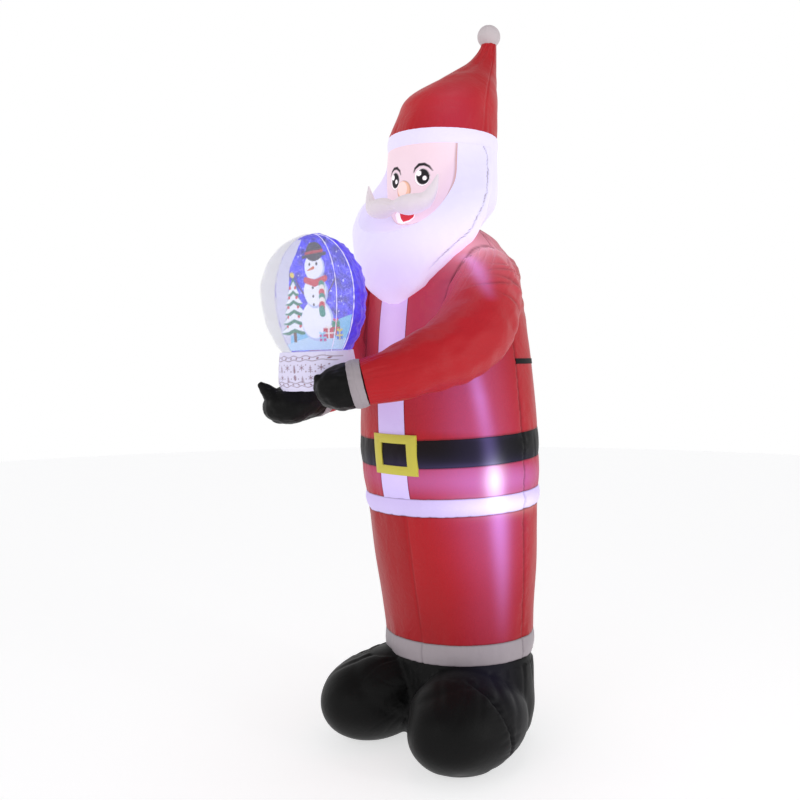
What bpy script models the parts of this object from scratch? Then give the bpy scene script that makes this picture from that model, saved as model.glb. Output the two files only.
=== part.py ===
"""Inflatable Santa that holds a snow globe, as the sewn, air-filled pieces it is made of.

Metres, +Z up. Santa faces -Y, and his left side is +X. The origin is on the ground, under the
middle of the coat's hem. Each sewn panel is a solid of its own, with a small gap at each seam.
"""

import math
from typing import NamedTuple

import bmesh
import bpy
import numpy as np
from mathutils import Matrix, Vector

# Driving dimensions, in metres and degrees
HEIGHT = 3.63
SEAM_GAP = 0.0003
PLACKET_WIDTH = 0.170
BUCKLE_WIDTH = 0.280
BUCKLE_HEIGHT = 0.195
BUCKLE_BAR = 0.042
BUCKLE_THICKNESS = 0.006
BUCKLE_CORNER = 0.008
STRAP_WIDTH = 0.025
STRAP_THICKNESS = 0.0015
GLOBE_RADIUS = 0.223
GLOBE_ABOVE = 0.256
GLOBE_BELOW = 0.244
GLOBE_BELLY = 0.320
BASE_HEIGHT = 0.165
BASE_HALF_WIDTH = 0.172
BASE_HALF_DEPTH = 0.136
GLOBE_LEAN_FORWARD = 3.0
GLOBE_LEAN_SIDE = 1.0
GLOBE_TURN = 8.0
CUFF_LENGTH = 0.058
CUFF_SWELL = 0.006
POMPOM_RADIUS = 0.061

# The free forms are in shares of the height: 363 shares from the ground to the pompom's top,
# so that one share is a centimetre at full size
SHARE = HEIGHT / 363


class Station(NamedTuple):
    """One level ellipse of a soft form, in shares of the height."""

    level: float
    half_width: float
    half_depth: float
    middle_y: float


class Seam(NamedTuple):
    """A seam round the body: its level in shares, and how far it rises to the side and to the back."""

    level: float
    rise_left: float
    rise_back: float


class Band(NamedTuple):
    """One sewn band of the body between two seams, and how far it swells, in shares."""

    name: str
    colour: str
    low: Seam
    high: Seam
    rings: int
    swell: float


class ArmPoint(NamedTuple):
    """A point on the middle line of his left arm, and the sleeve's radius there, in shares."""

    x: float
    y: float
    z: float
    radius: float


BODY = (
    Station(42.0, 40.4, 31.6, -0.6),
    Station(52.3, 40.7, 31.8, -0.8),
    Station(66.4, 41.4, 32.6, -2.0),
    Station(86.5, 43.1, 35.1, -3.5),
    Station(106.5, 44.3, 37.2, -4.9),
    Station(126.6, 46.0, 39.2, -6.6),
    Station(144.0, 46.7, 40.0, -8.2),
    Station(165.0, 45.3, 40.2, -9.2),
    Station(187.0, 43.0, 39.4, -10.0),
    Station(197.0, 41.6, 38.6, -10.2),
    Station(217.0, 38.8, 36.2, -10.5),
    Station(234.4, 35.0, 33.2, -10.8),
    Station(241.0, 29.5, 28.0, -10.9),
    Station(247.4, 24.2, 23.0, -11.0),
    Station(250.6, 19.0, 18.0, -11.0),
)
HEM_LOW = Seam(42.8, 0.05, 0.02)
HEM_HIGH = Seam(52.6, 0.05, 0.02)
WAIST_LOW = Seam(116.0, 0.03, 0.05)
WAIST_HIGH = Seam(124.4, 0.03, 0.05)
BELT_LOW = Seam(139.4, 0.03, 0.06)
BELT_HIGH = Seam(152.4, 0.03, 0.06)
COAT_TOP = Seam(250.6, 0.0, 0.0)
TRIM_SWELL = 1.0
COAT_SWELL = 0.4
HEM_TRIM = Band("hem_trim", "white", HEM_LOW, HEM_HIGH, 3, TRIM_SWELL)
COAT_SKIRT = Band("coat_skirt", "red", HEM_HIGH, WAIST_LOW, 6, COAT_SWELL)
WAIST_TRIM = Band("waist_trim", "white", WAIST_LOW, WAIST_HIGH, 3, TRIM_SWELL)
COAT_WAIST = Band("coat_waist", "red", WAIST_HIGH, BELT_LOW, 2, COAT_SWELL)
BELT = Band("belt", "black", BELT_LOW, BELT_HIGH, 2, COAT_SWELL)
COAT_CHEST = Band("coat_chest", "red", BELT_HIGH, COAT_TOP, 11, COAT_SWELL)
BANDS = (HEM_TRIM, COAT_SKIRT, WAIST_TRIM, COAT_WAIST, BELT, COAT_CHEST)

SKULL = (
    Station(240.0, 12.0, 15.0, -19.0),
    Station(245.0, 16.5, 19.0, -18.0),
    Station(252.0, 20.4, 21.5, -16.5),
    Station(256.7, 23.4, 23.6, -15.0),
    Station(262.0, 26.2, 26.2, -13.5),
    Station(270.0, 27.2, 27.2, -13.0),
    Station(280.0, 27.3, 27.3, -13.0),
    Station(288.5, 26.9, 26.9, -12.9),
)
SKULL_RINGS = 7
BEARD_RINGS = 13

BEARD = (
    Station(213.2, 4.0, 2.5, -46.0),
    Station(216.0, 9.5, 4.4, -46.2),
    Station(219.0, 14.8, 6.4, -46.0),
    Station(224.0, 19.8, 9.0, -44.8),
    Station(236.5, 30.5, 15.5, -39.0),
    Station(243.7, 36.3, 18.3, -34.5),
    Station(252.0, 39.0, 19.6, -32.0),
    Station(262.0, 39.0, 18.8, -27.5),
    Station(270.0, 36.0, 18.0, -22.5),
    Station(276.0, 32.5, 17.0, -19.5),
    Station(282.0, 28.8, 18.0, -16.5),
    Station(288.5, 26.6, 20.0, -15.0),
)
BEARD_SHORT = 0.1
FACE_HALF_WIDTH = 22.5
FACE_LEVEL = 278.0
FACE_DROP = 28.0
FACE_POWER = 2.2
FACE_FLARE_SIDE = 0.95
FACE_FLARE_DROP = 0.35
FACE_FLARE_REACH = 60.0
FACE_FLARE_ROOT = 6.0
FACE_FLARE_EDGE = 0.3
FACE_BACK = -19.0
FACE_STEPS = 19
HAT_BAND_TOP = 295.8
HAT_BAND_SWELL = 0.5
HAT_RINGS = 9
HAT = (
    Station(295.8, 26.6, 26.6, -12.6),
    Station(303.0, 25.7, 25.7, -10.6),
    Station(308.0, 24.8, 24.8, -9.0),
    Station(313.0, 23.8, 23.8, -7.3),
    Station(323.4, 18.9, 18.9, 0.1),
    Station(332.5, 12.4, 12.4, 9.9),
    Station(342.5, 7.0, 7.0, 18.7),
    Station(350.9, 4.3, 4.3, 22.9),
    Station(353.0, 3.9, 3.9, 23.5),
)

MOUSTACHE_SWEEP = 39.0
MOUSTACHE_REACH = 33.5
MOUSTACHE_SPREAD = 3.0
MOUSTACHE_LEVEL = 259.4
MOUSTACHE_RISE = 12.5
MOUSTACHE_CURL = 6.5
MOUSTACHE_LOBE = 4.7
MOUSTACHE_MIDDLE = 3.0
MOUSTACHE_TIP = 0.4
MOUSTACHE_STEPS = 16

HEEL = (
    Station(0.0, 29.0, 21.0, -0.8),
    Station(2.0, 34.5, 25.5, -0.8),
    Station(6.0, 38.8, 29.2, -0.8),
    Station(14.0, 41.2, 31.6, -0.8),
    Station(24.0, 41.6, 32.0, -0.8),
    Station(35.0, 41.0, 31.8, -0.8),
    Station(45.0, 39.6, 31.0, -0.8),
)
HEEL_RINGS = 7
TOE_X = 29.6
TOE_Y = -27.5
TOE_HALF = Vector((24.0, 33.0, 21.2))
TOE_SUNK = 2.2

SHOULDER = (ArmPoint(9.0, -9.0, 229.0, 6.0), ArmPoint(26.5, -14.0, 228.0, 13.0))
LEFT_ARM = (
    *SHOULDER,
    ArmPoint(36.5, -24.0, 217.8, 16.6),
    ArmPoint(42.0, -37.0, 202.6, 17.6),
    ArmPoint(43.0, -51.0, 193.2, 16.2),
    ArmPoint(41.6, -66.0, 187.4, 13.8),
    ArmPoint(36.0, -82.0, 181.4, 11.4),
    ArmPoint(27.6, -91.0, 178.2, 9.8),
)
RIGHT_ARM = (
    *SHOULDER,
    ArmPoint(36.5, -24.0, 218.0, 16.8),
    ArmPoint(42.0, -37.0, 202.5, 18.2),
    ArmPoint(38.0, -50.0, 191.5, 16.6),
    ArmPoint(27.5, -61.5, 181.5, 14.2),
    ArmPoint(19.2, -70.0, 175.0, 11.8),
    ArmPoint(17.4, -77.3, 172.6, 10.1),
)
LEFT_MITTEN = 14.5
RIGHT_MITTEN = 21.5
MITTEN_FLAT = 0.74
MITTEN_FULL = 1.12
LEFT_THUMB = Vector((17.0, -108.0, 180.5))
RIGHT_THUMB = Vector((19.5, -108.0, 177.0))
THUMB_RADIUS = 3.4
THUMB_PLACE = 0.62

BASE_CENTRE = Vector((0.0, -92.2, 174.6))
STRAP_LEVEL = 186.5
CLEAR_FRONT = -90.0
STRIPE_BACK = -18.0

SIDES = 28
ARM_ROUNDNESS = 5
TUBE_ROUNDNESS = 3
LEFT = 1
RIGHT = -1

COLOURS = {
    "red": ("#C22733", 0.50),
    "white": ("#E9E1F2", 0.60),
    "black": ("#131316", 0.45),
    "yellow": ("#D9C32B", 0.55),
    "skin": ("#F6D3C6", 0.60),
    "blue": ("#3A3BD6", 0.40),
    "clear": ("#D8DCE6", 0.15),
    "webbing": ("#101012", 0.80),
}


class Profile:
    """A smooth curve through a table of stations, read at any level between them."""

    def __init__(self, stations):
        table = np.array(stations, float)
        self.levels = table[:, 0]
        self.values = table[:, 1:]
        self.slopes = np.gradient(self.values, self.levels, axis=0)

    def at(self, level):
        """The half width, half depth and middle at this level, by cubic Hermite pieces."""
        below = int(np.searchsorted(self.levels, level, side="right")) - 1
        below = min(max(below, 0), len(self.levels) - 2)
        step = self.levels[below + 1] - self.levels[below]
        t = (level - self.levels[below]) / step
        start, end = self.values[below], self.values[below + 1]
        pull_start, pull_end = self.slopes[below] * step, self.slopes[below + 1] * step
        return (
            start * (2 * t**3 - 3 * t**2 + 1)
            + pull_start * (t**3 - 2 * t**2 + t)
            + end * (3 * t**2 - 2 * t**3)
            + pull_end * (t**3 - t**2)
        )


def clear_scene():
    """Removes every object of the open scene."""
    for thing in list(bpy.data.objects):
        bpy.data.objects.remove(thing, do_unlink=True)


def collection_named(name):
    """A collection of this name, linked to the scene."""
    collection = bpy.data.collections.get(name) or bpy.data.collections.new(name)
    if collection.name not in bpy.context.scene.collection.children:
        bpy.context.scene.collection.children.link(collection)
    return collection


def linear_channel(value):
    """One sRGB channel, 0 to 1, as the linear value that a shader takes."""
    return value / 12.92 if value <= 0.04045 else ((value + 0.055) / 1.055) ** 2.4


def fabric(owner, colour):
    """A material for one piece, in one of the named colours."""
    code, roughness = COLOURS[colour]
    channels = [int(code[i : i + 2], 16) / 255 for i in (1, 3, 5)]
    material = bpy.data.materials.new(f"{owner}_{colour}")
    material.use_nodes = True
    shader = material.node_tree.nodes["Principled BSDF"]
    shader.inputs["Base Color"].default_value = [*map(linear_channel, channels), 1.0]
    shader.inputs["Roughness"].default_value = roughness
    shader.inputs["Metallic"].default_value = 0.0
    if colour == "clear":
        shader.inputs["Transmission Weight"].default_value = 0.9
    return material


def new_object(name, mesh, colour=None):
    """An object of the part when it has a colour, or else a hidden cutter."""
    thing = bpy.data.objects.new(name, mesh)
    if colour is None:
        collection_named("cutters").objects.link(thing)
        thing.hide_render = True
        thing.display_type = "WIRE"
    else:
        collection_named("inflatable_santa").objects.link(thing)
        mesh.materials.append(fabric(name, colour))
        mesh.shade_smooth()
        mesh.set_sharp_from_angle(angle=math.radians(50))
    return thing


def lofted(name, rings):
    """A closed mesh through rings of points, all its faces split along the same diagonal.

    A form and its larger cutter are then the same shape, a gap apart.
    """
    shape = bmesh.new()
    loops = [[shape.verts.new(point) for point in ring] for ring in rings]
    for lower, upper in zip(loops, loops[1:]):
        for k in range(len(lower)):
            after = (k + 1) % len(lower)
            shape.faces.new((lower[k], lower[after], upper[after]))
            shape.faces.new((lower[k], upper[after], upper[k]))
    shape.faces.new(reversed(loops[0]))
    shape.faces.new(loops[-1])
    return finished_mesh(name, shape)


def finished_mesh(name, shape):
    """A mesh from this bmesh, with its faces pointing out."""
    bmesh.ops.recalc_face_normals(shape, faces=shape.faces)
    mesh = bpy.data.meshes.new(name)
    shape.to_mesh(mesh)
    shape.free()
    return mesh


def level_ring(profile, level, spread=0.0, power=2.0):
    """One level ring of a profile, widened all round by spread in metres."""
    half_width, half_depth, middle = profile.at(level) * SHARE
    points = []
    for k in range(SIDES):
        turn = 2 * math.pi * k / SIDES
        across = math.copysign(abs(math.sin(turn)) ** (2 / power), math.sin(turn))
        along = math.copysign(abs(math.cos(turn)) ** (2 / power), math.cos(turn))
        x = (half_width + spread) * across
        y = middle - (half_depth + spread) * along
        points.append(Vector((x, y, level * SHARE)))
    return points


def seam_ring(low, high, share, spread):
    """A ring of the body between two seams, in a plane that turns from one seam's to the other's."""
    level = low.level + (high.level - low.level) * share
    rise_left = low.rise_left + (high.rise_left - low.rise_left) * share
    rise_back = low.rise_back + (high.rise_back - low.rise_back) * share
    ring = level_ring(BODY_PROFILE, level, spread)
    for point in ring:
        point.z += rise_left * point.x + rise_back * point.y
    return ring


def band_rings(band, spread=0.0):
    """The rings of a band from its lower seam to its upper one, swollen between the two."""
    shares = [i / band.rings for i in range(band.rings + 1)]
    swells = [band.swell * SHARE * math.sin(math.pi * share) for share in shares]
    return [seam_ring(band.low, band.high, *pair) for pair in zip(shares, [spread + s for s in swells])]


def body_band(band, name=None, colour=None):
    """One sewn band of the body as a piece, short of both its seams by half the gap."""
    rings = band_rings(band)
    for i, ring in enumerate(rings):
        trim = SEAM_GAP / 2 * (1 - 2 * i / band.rings)
        for point in ring:
            point.z += trim
    name = name or band.name
    return new_object(name, lofted(name, rings), colour or band.colour)


def stacked(name, profile, low, high, rings, spread=0.0, swell=0.0):
    """A loft of a profile between two levels, given in shares, with both ends flat."""
    made = []
    for i in range(rings + 1):
        share = i / rings
        level = low + (high - low) * share
        made.append(level_ring(profile, level, spread + swell * SHARE * math.sin(math.pi * share)))
    move_ends(made, spread)
    return lofted(name, made)


def move_ends(rings, reach):
    """Moves the first ring down and the last ring up."""
    for point in rings[0]:
        point.z -= reach
    for point in rings[-1]:
        point.z += reach


def body_cutter(name, spread):
    """The whole body from hem to shoulders, widened and lengthened by spread."""
    rings = []
    for band in BANDS:
        rings += band_rings(band, spread)[:-1]
    rings.append(band_rings(COAT_CHEST, spread)[-1])
    move_ends(rings, spread)
    return new_object(name, lofted(name, rings))


def combine(thing, other, operation):
    """Adds a Boolean of the given kind."""
    modifier = thing.modifiers.new(f"{operation.lower()} {other.name}", "BOOLEAN")
    modifier.operation = operation
    modifier.solver = "EXACT"
    modifier.object = other


def box_mesh(name, low, high):
    """A box between two corners."""
    shape = bmesh.new()
    middle, size = (low + high) / 2, high - low
    placed = Matrix.Translation(middle) @ Matrix.Diagonal((*size, 1.0))
    bmesh.ops.create_cube(shape, size=1.0, matrix=placed)
    return finished_mesh(name, shape)


def box(name, low, high):
    """A hidden box between two corners."""
    return new_object(name, box_mesh(name, low, high))


def prism(name, outline, front, back):
    """A hidden prism along Y over an outline of (x, z) points."""
    rings = [[Vector((x, y, z)) for x, z in outline] for y in (front, back)]
    return new_object(name, lofted(name, rings))


def tube_mesh(name, points, radii, roundness=ARM_ROUNDNESS):
    """A tube through the points, with its own radius at each, as a closed mesh."""
    curve = bpy.data.curves.new(name, "CURVE")
    curve.dimensions = "3D"
    curve.bevel_depth = 1.0
    curve.bevel_resolution = roundness
    curve.use_fill_caps = True
    spline = curve.splines.new("POLY")
    spline.points.add(len(points) - 1)
    for place, point, radius in zip(spline.points, points, radii):
        place.co = (*point, 1.0)
        place.radius = radius
    holder = bpy.data.objects.new(name, curve)
    bpy.context.scene.collection.objects.link(holder)
    graph = bpy.context.evaluated_depsgraph_get()
    mesh = bpy.data.meshes.new_from_object(holder.evaluated_get(graph))
    bpy.data.objects.remove(holder)
    shape = bmesh.new()
    shape.from_mesh(mesh)
    bmesh.ops.remove_doubles(shape, verts=shape.verts, dist=1e-5)
    return finished_mesh(name, shape)


def smooth_run(stations, steps):
    """Points on a smooth curve through rows of numbers, steps of them in each stretch."""
    rows = np.array(stations, float)
    profile = Profile(np.column_stack([np.arange(len(rows)), rows]))
    return [profile.at(i / steps) for i in range(steps * (len(rows) - 1) + 1)]


BODY_PROFILE = Profile(BODY)
SKULL_PROFILE = Profile(SKULL)
BEARD_PROFILE = Profile(BEARD)
HAT_PROFILE = Profile(HAT)
HEEL_PROFILE = Profile(HEEL)


def front_stripe(name, width):
    """A hidden upright slab of this width, on the front of the body alone."""
    return box(
        name,
        Vector((-width / 2, CLEAR_FRONT * SHARE, HEM_HIGH.level * SHARE)),
        Vector((width / 2, STRIPE_BACK * SHARE, SKULL[-1].level * SHARE)),
    )


def skull_mesh(name, spread=0.0):
    """The head's own form, from inside the collar up to the hat band."""
    return stacked(name, SKULL_PROFILE, SKULL[0].level, SKULL[-1].level, SKULL_RINGS, spread)


def beard_mesh(name, spread=0.0):
    """The full beard's form, from its tip on the chest up to just under the hat band."""
    top = BEARD[-1].level - BEARD_SHORT
    return stacked(name, BEARD_PROFILE, BEARD[0].level, top, BEARD_RINGS, spread)


def build_head_cutters():
    """The skull and the beard, a seam's gap larger all round, to cut what meets them."""
    skull = skull_mesh("skull_cutter", SEAM_GAP)
    beard = beard_mesh("beard_cutter", SEAM_GAP)
    return new_object("skull_cutter", skull), new_object("beard_cutter", beard)


def build_coat(head_cutters):
    """The red coat, its white trims, the belt and the white stripe down the front."""
    for band in (HEM_TRIM, COAT_SKIRT, WAIST_TRIM, BELT):
        body_band(band)
    lower = body_band(COAT_WAIST)
    upper = body_band(COAT_CHEST)
    slot = front_stripe("placket_slot", PLACKET_WIDTH + 2 * SEAM_GAP)
    stripe = front_stripe("placket_stripe", PLACKET_WIDTH)
    stripe_low = body_band(COAT_WAIST, "placket_lower", "white")
    stripe_high = body_band(COAT_CHEST, "placket_upper", "white")
    for coat in (lower, upper):
        combine(coat, slot, "DIFFERENCE")
    for white in (stripe_low, stripe_high):
        combine(white, stripe, "INTERSECT")
    for cutter in head_cutters:
        combine(upper, cutter, "DIFFERENCE")
        combine(stripe_high, cutter, "DIFFERENCE")


def rounded_box_outline(half_width, half_height, corner, middle):
    """The outline of a box with round corners, counterclockwise from the right side's foot."""
    outline = []
    for quarter in range(4):
        sign_x = 1 if quarter in (0, 3) else -1
        sign_z = 1 if quarter in (0, 1) else -1
        for step in range(4):
            turn = math.radians(90 * quarter + 30 * step)
            x = sign_x * (half_width - corner) + corner * math.cos(turn)
            z = sign_z * (half_height - corner) + corner * math.sin(turn) + middle
            outline.append((x, z))
    return outline


def lay_on_coat(thing, thickness, coat_cutter):
    """Trims a piece to a layer of this thickness, a gap outside the coat."""
    outer = body_cutter(f"{thing.name}_face", SEAM_GAP + thickness)
    combine(thing, outer, "INTERSECT")
    combine(thing, coat_cutter, "DIFFERENCE")


def build_buckle(coat_cutter):
    """The yellow frame over the belt, curved with the coat's front."""
    middle = (BELT_LOW.level + BELT_HIGH.level) / 2 * SHARE
    middle += BELT_LOW.rise_back * BODY_PROFILE.at(BELT_LOW.level)[1] * SHARE * -1
    front, back = CLEAR_FRONT * SHARE, STRIPE_BACK * SHARE
    outer = rounded_box_outline(BUCKLE_WIDTH / 2, BUCKLE_HEIGHT / 2, BUCKLE_CORNER, middle)
    inner = rounded_box_outline(
        BUCKLE_WIDTH / 2 - BUCKLE_BAR, BUCKLE_HEIGHT / 2 - BUCKLE_BAR, BUCKLE_CORNER, middle
    )
    frame = lofted("buckle", [[Vector((x, y, z)) for x, z in outer] for y in (front, back)])
    buckle = new_object("buckle", frame, "yellow")
    combine(buckle, prism("buckle_hole", inner, 2 * front, 0.0), "DIFFERENCE")
    lay_on_coat(buckle, BUCKLE_THICKNESS, coat_cutter)


def build_strap(coat_cutter):
    """The flat webbing strap across the back, from side seam to side seam."""
    middle_y = BODY_PROFILE.at(STRAP_LEVEL)[2] * SHARE
    level = STRAP_LEVEL * SHARE
    low = Vector((-HEIGHT, middle_y, level - STRAP_WIDTH / 2))
    high = Vector((HEIGHT, HEIGHT, level + STRAP_WIDTH / 2))
    strap = new_object("tether_strap", box_mesh("tether_strap", low, high), "webbing")
    lay_on_coat(strap, STRAP_THICKNESS, coat_cutter)


def face_outline(spread):
    """The face panel's outline: straight at the top, and a blunt point under the mouth."""
    half_width = FACE_HALF_WIDTH * SHARE + spread
    drop = FACE_DROP * SHARE + spread
    top = (HAT[0].level + 2) * SHARE
    outline = [(half_width, top)]
    for i in range(FACE_STEPS + 1):
        turn = math.pi * i / FACE_STEPS
        x = math.copysign(abs(math.cos(turn)) ** (2 / FACE_POWER), math.cos(turn))
        z = math.sin(turn) ** (2 / FACE_POWER)
        outline.append((half_width * x, FACE_LEVEL * SHARE - drop * z))
    outline.append((-half_width, top))
    return outline


def flared_slot():
    """The cutter that slopes the beard away from the face, so that the face shows from the side."""
    edge = FACE_HALF_WIDTH * SHARE
    rings = []
    for reach in (FACE_FLARE_REACH * SHARE, -FACE_FLARE_ROOT * SHARE):
        ring = []
        for x, z in face_outline(FACE_FLARE_EDGE * SHARE):
            half_width, half_depth, middle = SKULL_PROFILE.at(min(z / SHARE, SKULL[-1].level))
            aside = min(abs(x) / (half_width * SHARE), 0.95)
            front = (middle - half_depth * math.sqrt(1 - aside**2)) * SHARE
            below = min(max((FACE_LEVEL * SHARE - z) / (FACE_DROP * SHARE), 0.0), 1.0)
            side = x + reach * FACE_FLARE_SIDE * x / edge
            ring.append(Vector((side, front - reach, z - reach * FACE_FLARE_DROP * below)))
        rings.append(ring)
    return new_object("face_flare", lofted("face_flare", rings))


def build_head():
    """The white head with its beard, the face panel set in its front, and the moustache."""
    head = new_object("head_and_beard", skull_mesh("head"), "white")
    beard = new_object("beard_form", beard_mesh("beard"))
    front, back = CLEAR_FRONT * SHARE, FACE_BACK * SHARE
    combine(head, beard, "UNION")
    combine(head, prism("face_slot", face_outline(SEAM_GAP), front, back + SEAM_GAP), "DIFFERENCE")
    combine(head, flared_slot(), "DIFFERENCE")
    face = new_object("face", skull_mesh("face"), "skin")
    combine(face, prism("face_panel", face_outline(0.0), front, back), "INTERSECT")


def build_moustache(head_cutters):
    """The puffed crescent under the nose, its tips turned up and standing off the cheeks."""
    points, radii = [], []
    for i in range(MOUSTACHE_STEPS + 1):
        share = 2 * i / MOUSTACHE_STEPS - 1
        turn = math.radians(MOUSTACHE_SWEEP * share)
        reach = (MOUSTACHE_REACH + MOUSTACHE_SPREAD * share**2) * SHARE
        middle = SKULL_PROFILE.at(FACE_LEVEL)[2] * SHARE
        level = (MOUSTACHE_LEVEL + MOUSTACHE_RISE * abs(share) ** MOUSTACHE_CURL) * SHARE
        points.append(Vector((reach * math.sin(turn), middle - reach * math.cos(turn), level)))
        lobe = max(1 - abs(share) ** 2.8, 0.0) ** 0.7
        dip = (MOUSTACHE_LOBE - MOUSTACHE_MIDDLE) * math.exp(-((share / 0.2) ** 2))
        radii.append((MOUSTACHE_LOBE * lobe - dip + MOUSTACHE_TIP) * SHARE)
    moustache = new_object("moustache", tube_mesh("moustache", points, radii, TUBE_ROUNDNESS), "white")
    for cutter in head_cutters:
        combine(moustache, cutter, "DIFFERENCE")


def build_hat():
    """The white band, the red hat that sweeps back to its tip, and the pompom."""
    gap = SEAM_GAP / SHARE
    head_top = SKULL[-1]
    band = Profile((head_top, Station(*HAT[0][:1], *head_top[1:3], HAT[0].middle_y)))
    band_mesh = stacked("hat_band", band, head_top.level + gap, HAT_BAND_TOP - gap, 3, 0.0, HAT_BAND_SWELL)
    new_object("hat_band", band_mesh, "white")
    tip = HAT[-1]
    new_object("hat", stacked("hat", HAT_PROFILE, HAT_BAND_TOP, tip.level, HAT_RINGS), "red")
    centre = Vector((0.0, tip.middle_y * SHARE, HEIGHT - POMPOM_RADIUS))
    shape = bmesh.new()
    bmesh.ops.create_uvsphere(
        shape, u_segments=14, v_segments=9, radius=POMPOM_RADIUS, matrix=Matrix.Translation(centre)
    )
    pompom = new_object("pompom", finished_mesh("pompom", shape), "white")
    foot = tip.level * SHARE + SEAM_GAP
    reach = Vector((2 * POMPOM_RADIUS, 2 * POMPOM_RADIUS, 0))
    low = centre - reach
    high = centre + reach
    low.z, high.z = foot - 2 * POMPOM_RADIUS, foot
    combine(pompom, box("pompom_foot", low, high), "DIFFERENCE")


def build_boots(coat_cutter):
    """The black base: a broad heel under the hem and two round toes, flat where they stand."""
    rings = []
    for i in range(HEEL_RINGS + 1):
        level = HEEL[-1].level * (i / HEEL_RINGS) ** 1.5
        rings.append(level_ring(HEEL_PROFILE, level))
    boots = new_object("boots", lofted("boots", rings), "black")
    half = TOE_HALF * SHARE
    for side in (LEFT, RIGHT):
        centre = Vector((side * TOE_X * SHARE, TOE_Y * SHARE, half.z - TOE_SUNK * SHARE))
        shape = bmesh.new()
        placed = Matrix.Translation(centre) @ Matrix.Diagonal((*half, 1.0))
        bmesh.ops.create_uvsphere(shape, u_segments=18, v_segments=11, radius=1.0, matrix=placed)
        toe = new_object(f"toe_form_{side}", finished_mesh("toe", shape))
        combine(boots, toe, "UNION")
    below = Vector((-HEIGHT, -HEIGHT, -HEIGHT))
    combine(boots, box("ground", below, Vector((HEIGHT, HEIGHT, 0.0))), "DIFFERENCE")
    combine(boots, coat_cutter, "DIFFERENCE")


def globe_frame():
    """The leaning frame of the globe, its origin at the middle of the base's underside."""
    lean = Matrix.Rotation(math.radians(GLOBE_LEAN_FORWARD), 4, "X")
    side = Matrix.Rotation(math.radians(-GLOBE_LEAN_SIDE), 4, "Y")
    turn = Matrix.Rotation(math.radians(GLOBE_TURN), 4, "Z")
    return Matrix.Translation(BASE_CENTRE * SHARE) @ side @ lean @ turn


def globe_outline():
    """The globe's turned outline from its top to its neck: (radius, height over the base's foot)."""
    middle = BASE_HEIGHT + GLOBE_BELOW
    lowest = math.asin(GLOBE_BELOW / GLOBE_BELLY)
    outline = []
    for i in range(8):
        turn = math.pi / 2 * (1 - i / 7)
        outline.append((GLOBE_RADIUS * math.cos(turn), middle + GLOBE_ABOVE * math.sin(turn)))
    for i in range(1, 5):
        turn = lowest * i / 4
        outline.append((GLOBE_RADIUS * math.cos(turn), middle - GLOBE_BELLY * math.sin(turn)))
    return outline


def turned(name, outline, colour):
    """A solid turned from an outline that runs down its outer side and back to the axis."""
    shape = bmesh.new()
    points = [*outline, (0.0, outline[-1][1])]
    verts = [shape.verts.new((radius, 0.0, height)) for radius, height in points]
    verts[0].co.x = 0.0
    for upper, lower in zip(verts, verts[1:]):
        shape.edges.new((upper, lower))
    mesh = bpy.data.meshes.new(name)
    shape.to_mesh(mesh)
    shape.free()
    thing = new_object(name, mesh, colour)
    screw = thing.modifiers.new("turn", "SCREW")
    screw.steps = screw.render_steps = SIDES
    screw.use_merge_vertices = True
    screw.merge_threshold = 0.0001
    return thing


def base_mesh(name, spread=0.0, lower=0.0):
    """The soft base: a rounded block that narrows to the globe's neck, in the globe's frame."""
    neck = globe_outline()[-1][0]
    rings = []
    for i in range(6):
        share = i / 5
        half_width = BASE_HALF_WIDTH + (neck - BASE_HALF_WIDTH) * share
        half_depth = BASE_HALF_DEPTH + (neck - BASE_HALF_DEPTH) * share
        puff = 0.02 * BASE_HEIGHT * math.sin(math.pi * share)
        tuck = 0.10 * BASE_HEIGHT * max(1 - 4 * share, 0.0) ** 2
        power = 3.0 - share
        ring = []
        for k in range(SIDES):
            turn = 2 * math.pi * k / SIDES
            across = math.copysign(abs(math.sin(turn)) ** (2 / power), math.sin(turn))
            along = math.copysign(abs(math.cos(turn)) ** (2 / power), math.cos(turn))
            grow = spread + puff - tuck
            height = share * (BASE_HEIGHT - SEAM_GAP) - lower * (1 - share)
            ring.append(Vector(((half_width + grow) * across, -(half_depth + grow) * along, height)))
        rings.append(ring)
    return lofted(name, rings)


def build_globe():
    """The clear front and the blue back of the globe, and the base that it sits on."""
    frame = globe_frame()
    reach = 3 * GLOBE_RADIUS
    for name, colour, side in (("globe_window", "clear", -1), ("globe_back", "blue", 1)):
        half = turned(name, globe_outline(), colour)
        near, far = side * SEAM_GAP / 2, side * reach
        low = Vector((-reach, min(near, far), 0.0))
        high = Vector((reach, max(near, far), BASE_HEIGHT + GLOBE_BELOW + 2 * GLOBE_ABOVE))
        cutter = box(f"{name}_half", low, high)
        combine(half, cutter, "INTERSECT")
        half.matrix_world = frame
        cutter.matrix_world = frame
    base = new_object("globe_base", base_mesh("globe_base"), "white")
    base.matrix_world = frame


def arm_point(point, side):
    """A point of an arm in metres: the tables give both arms as his left one."""
    x, y, z = (value * SHARE for value in point)
    return Vector((side * x, y, z))


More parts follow.
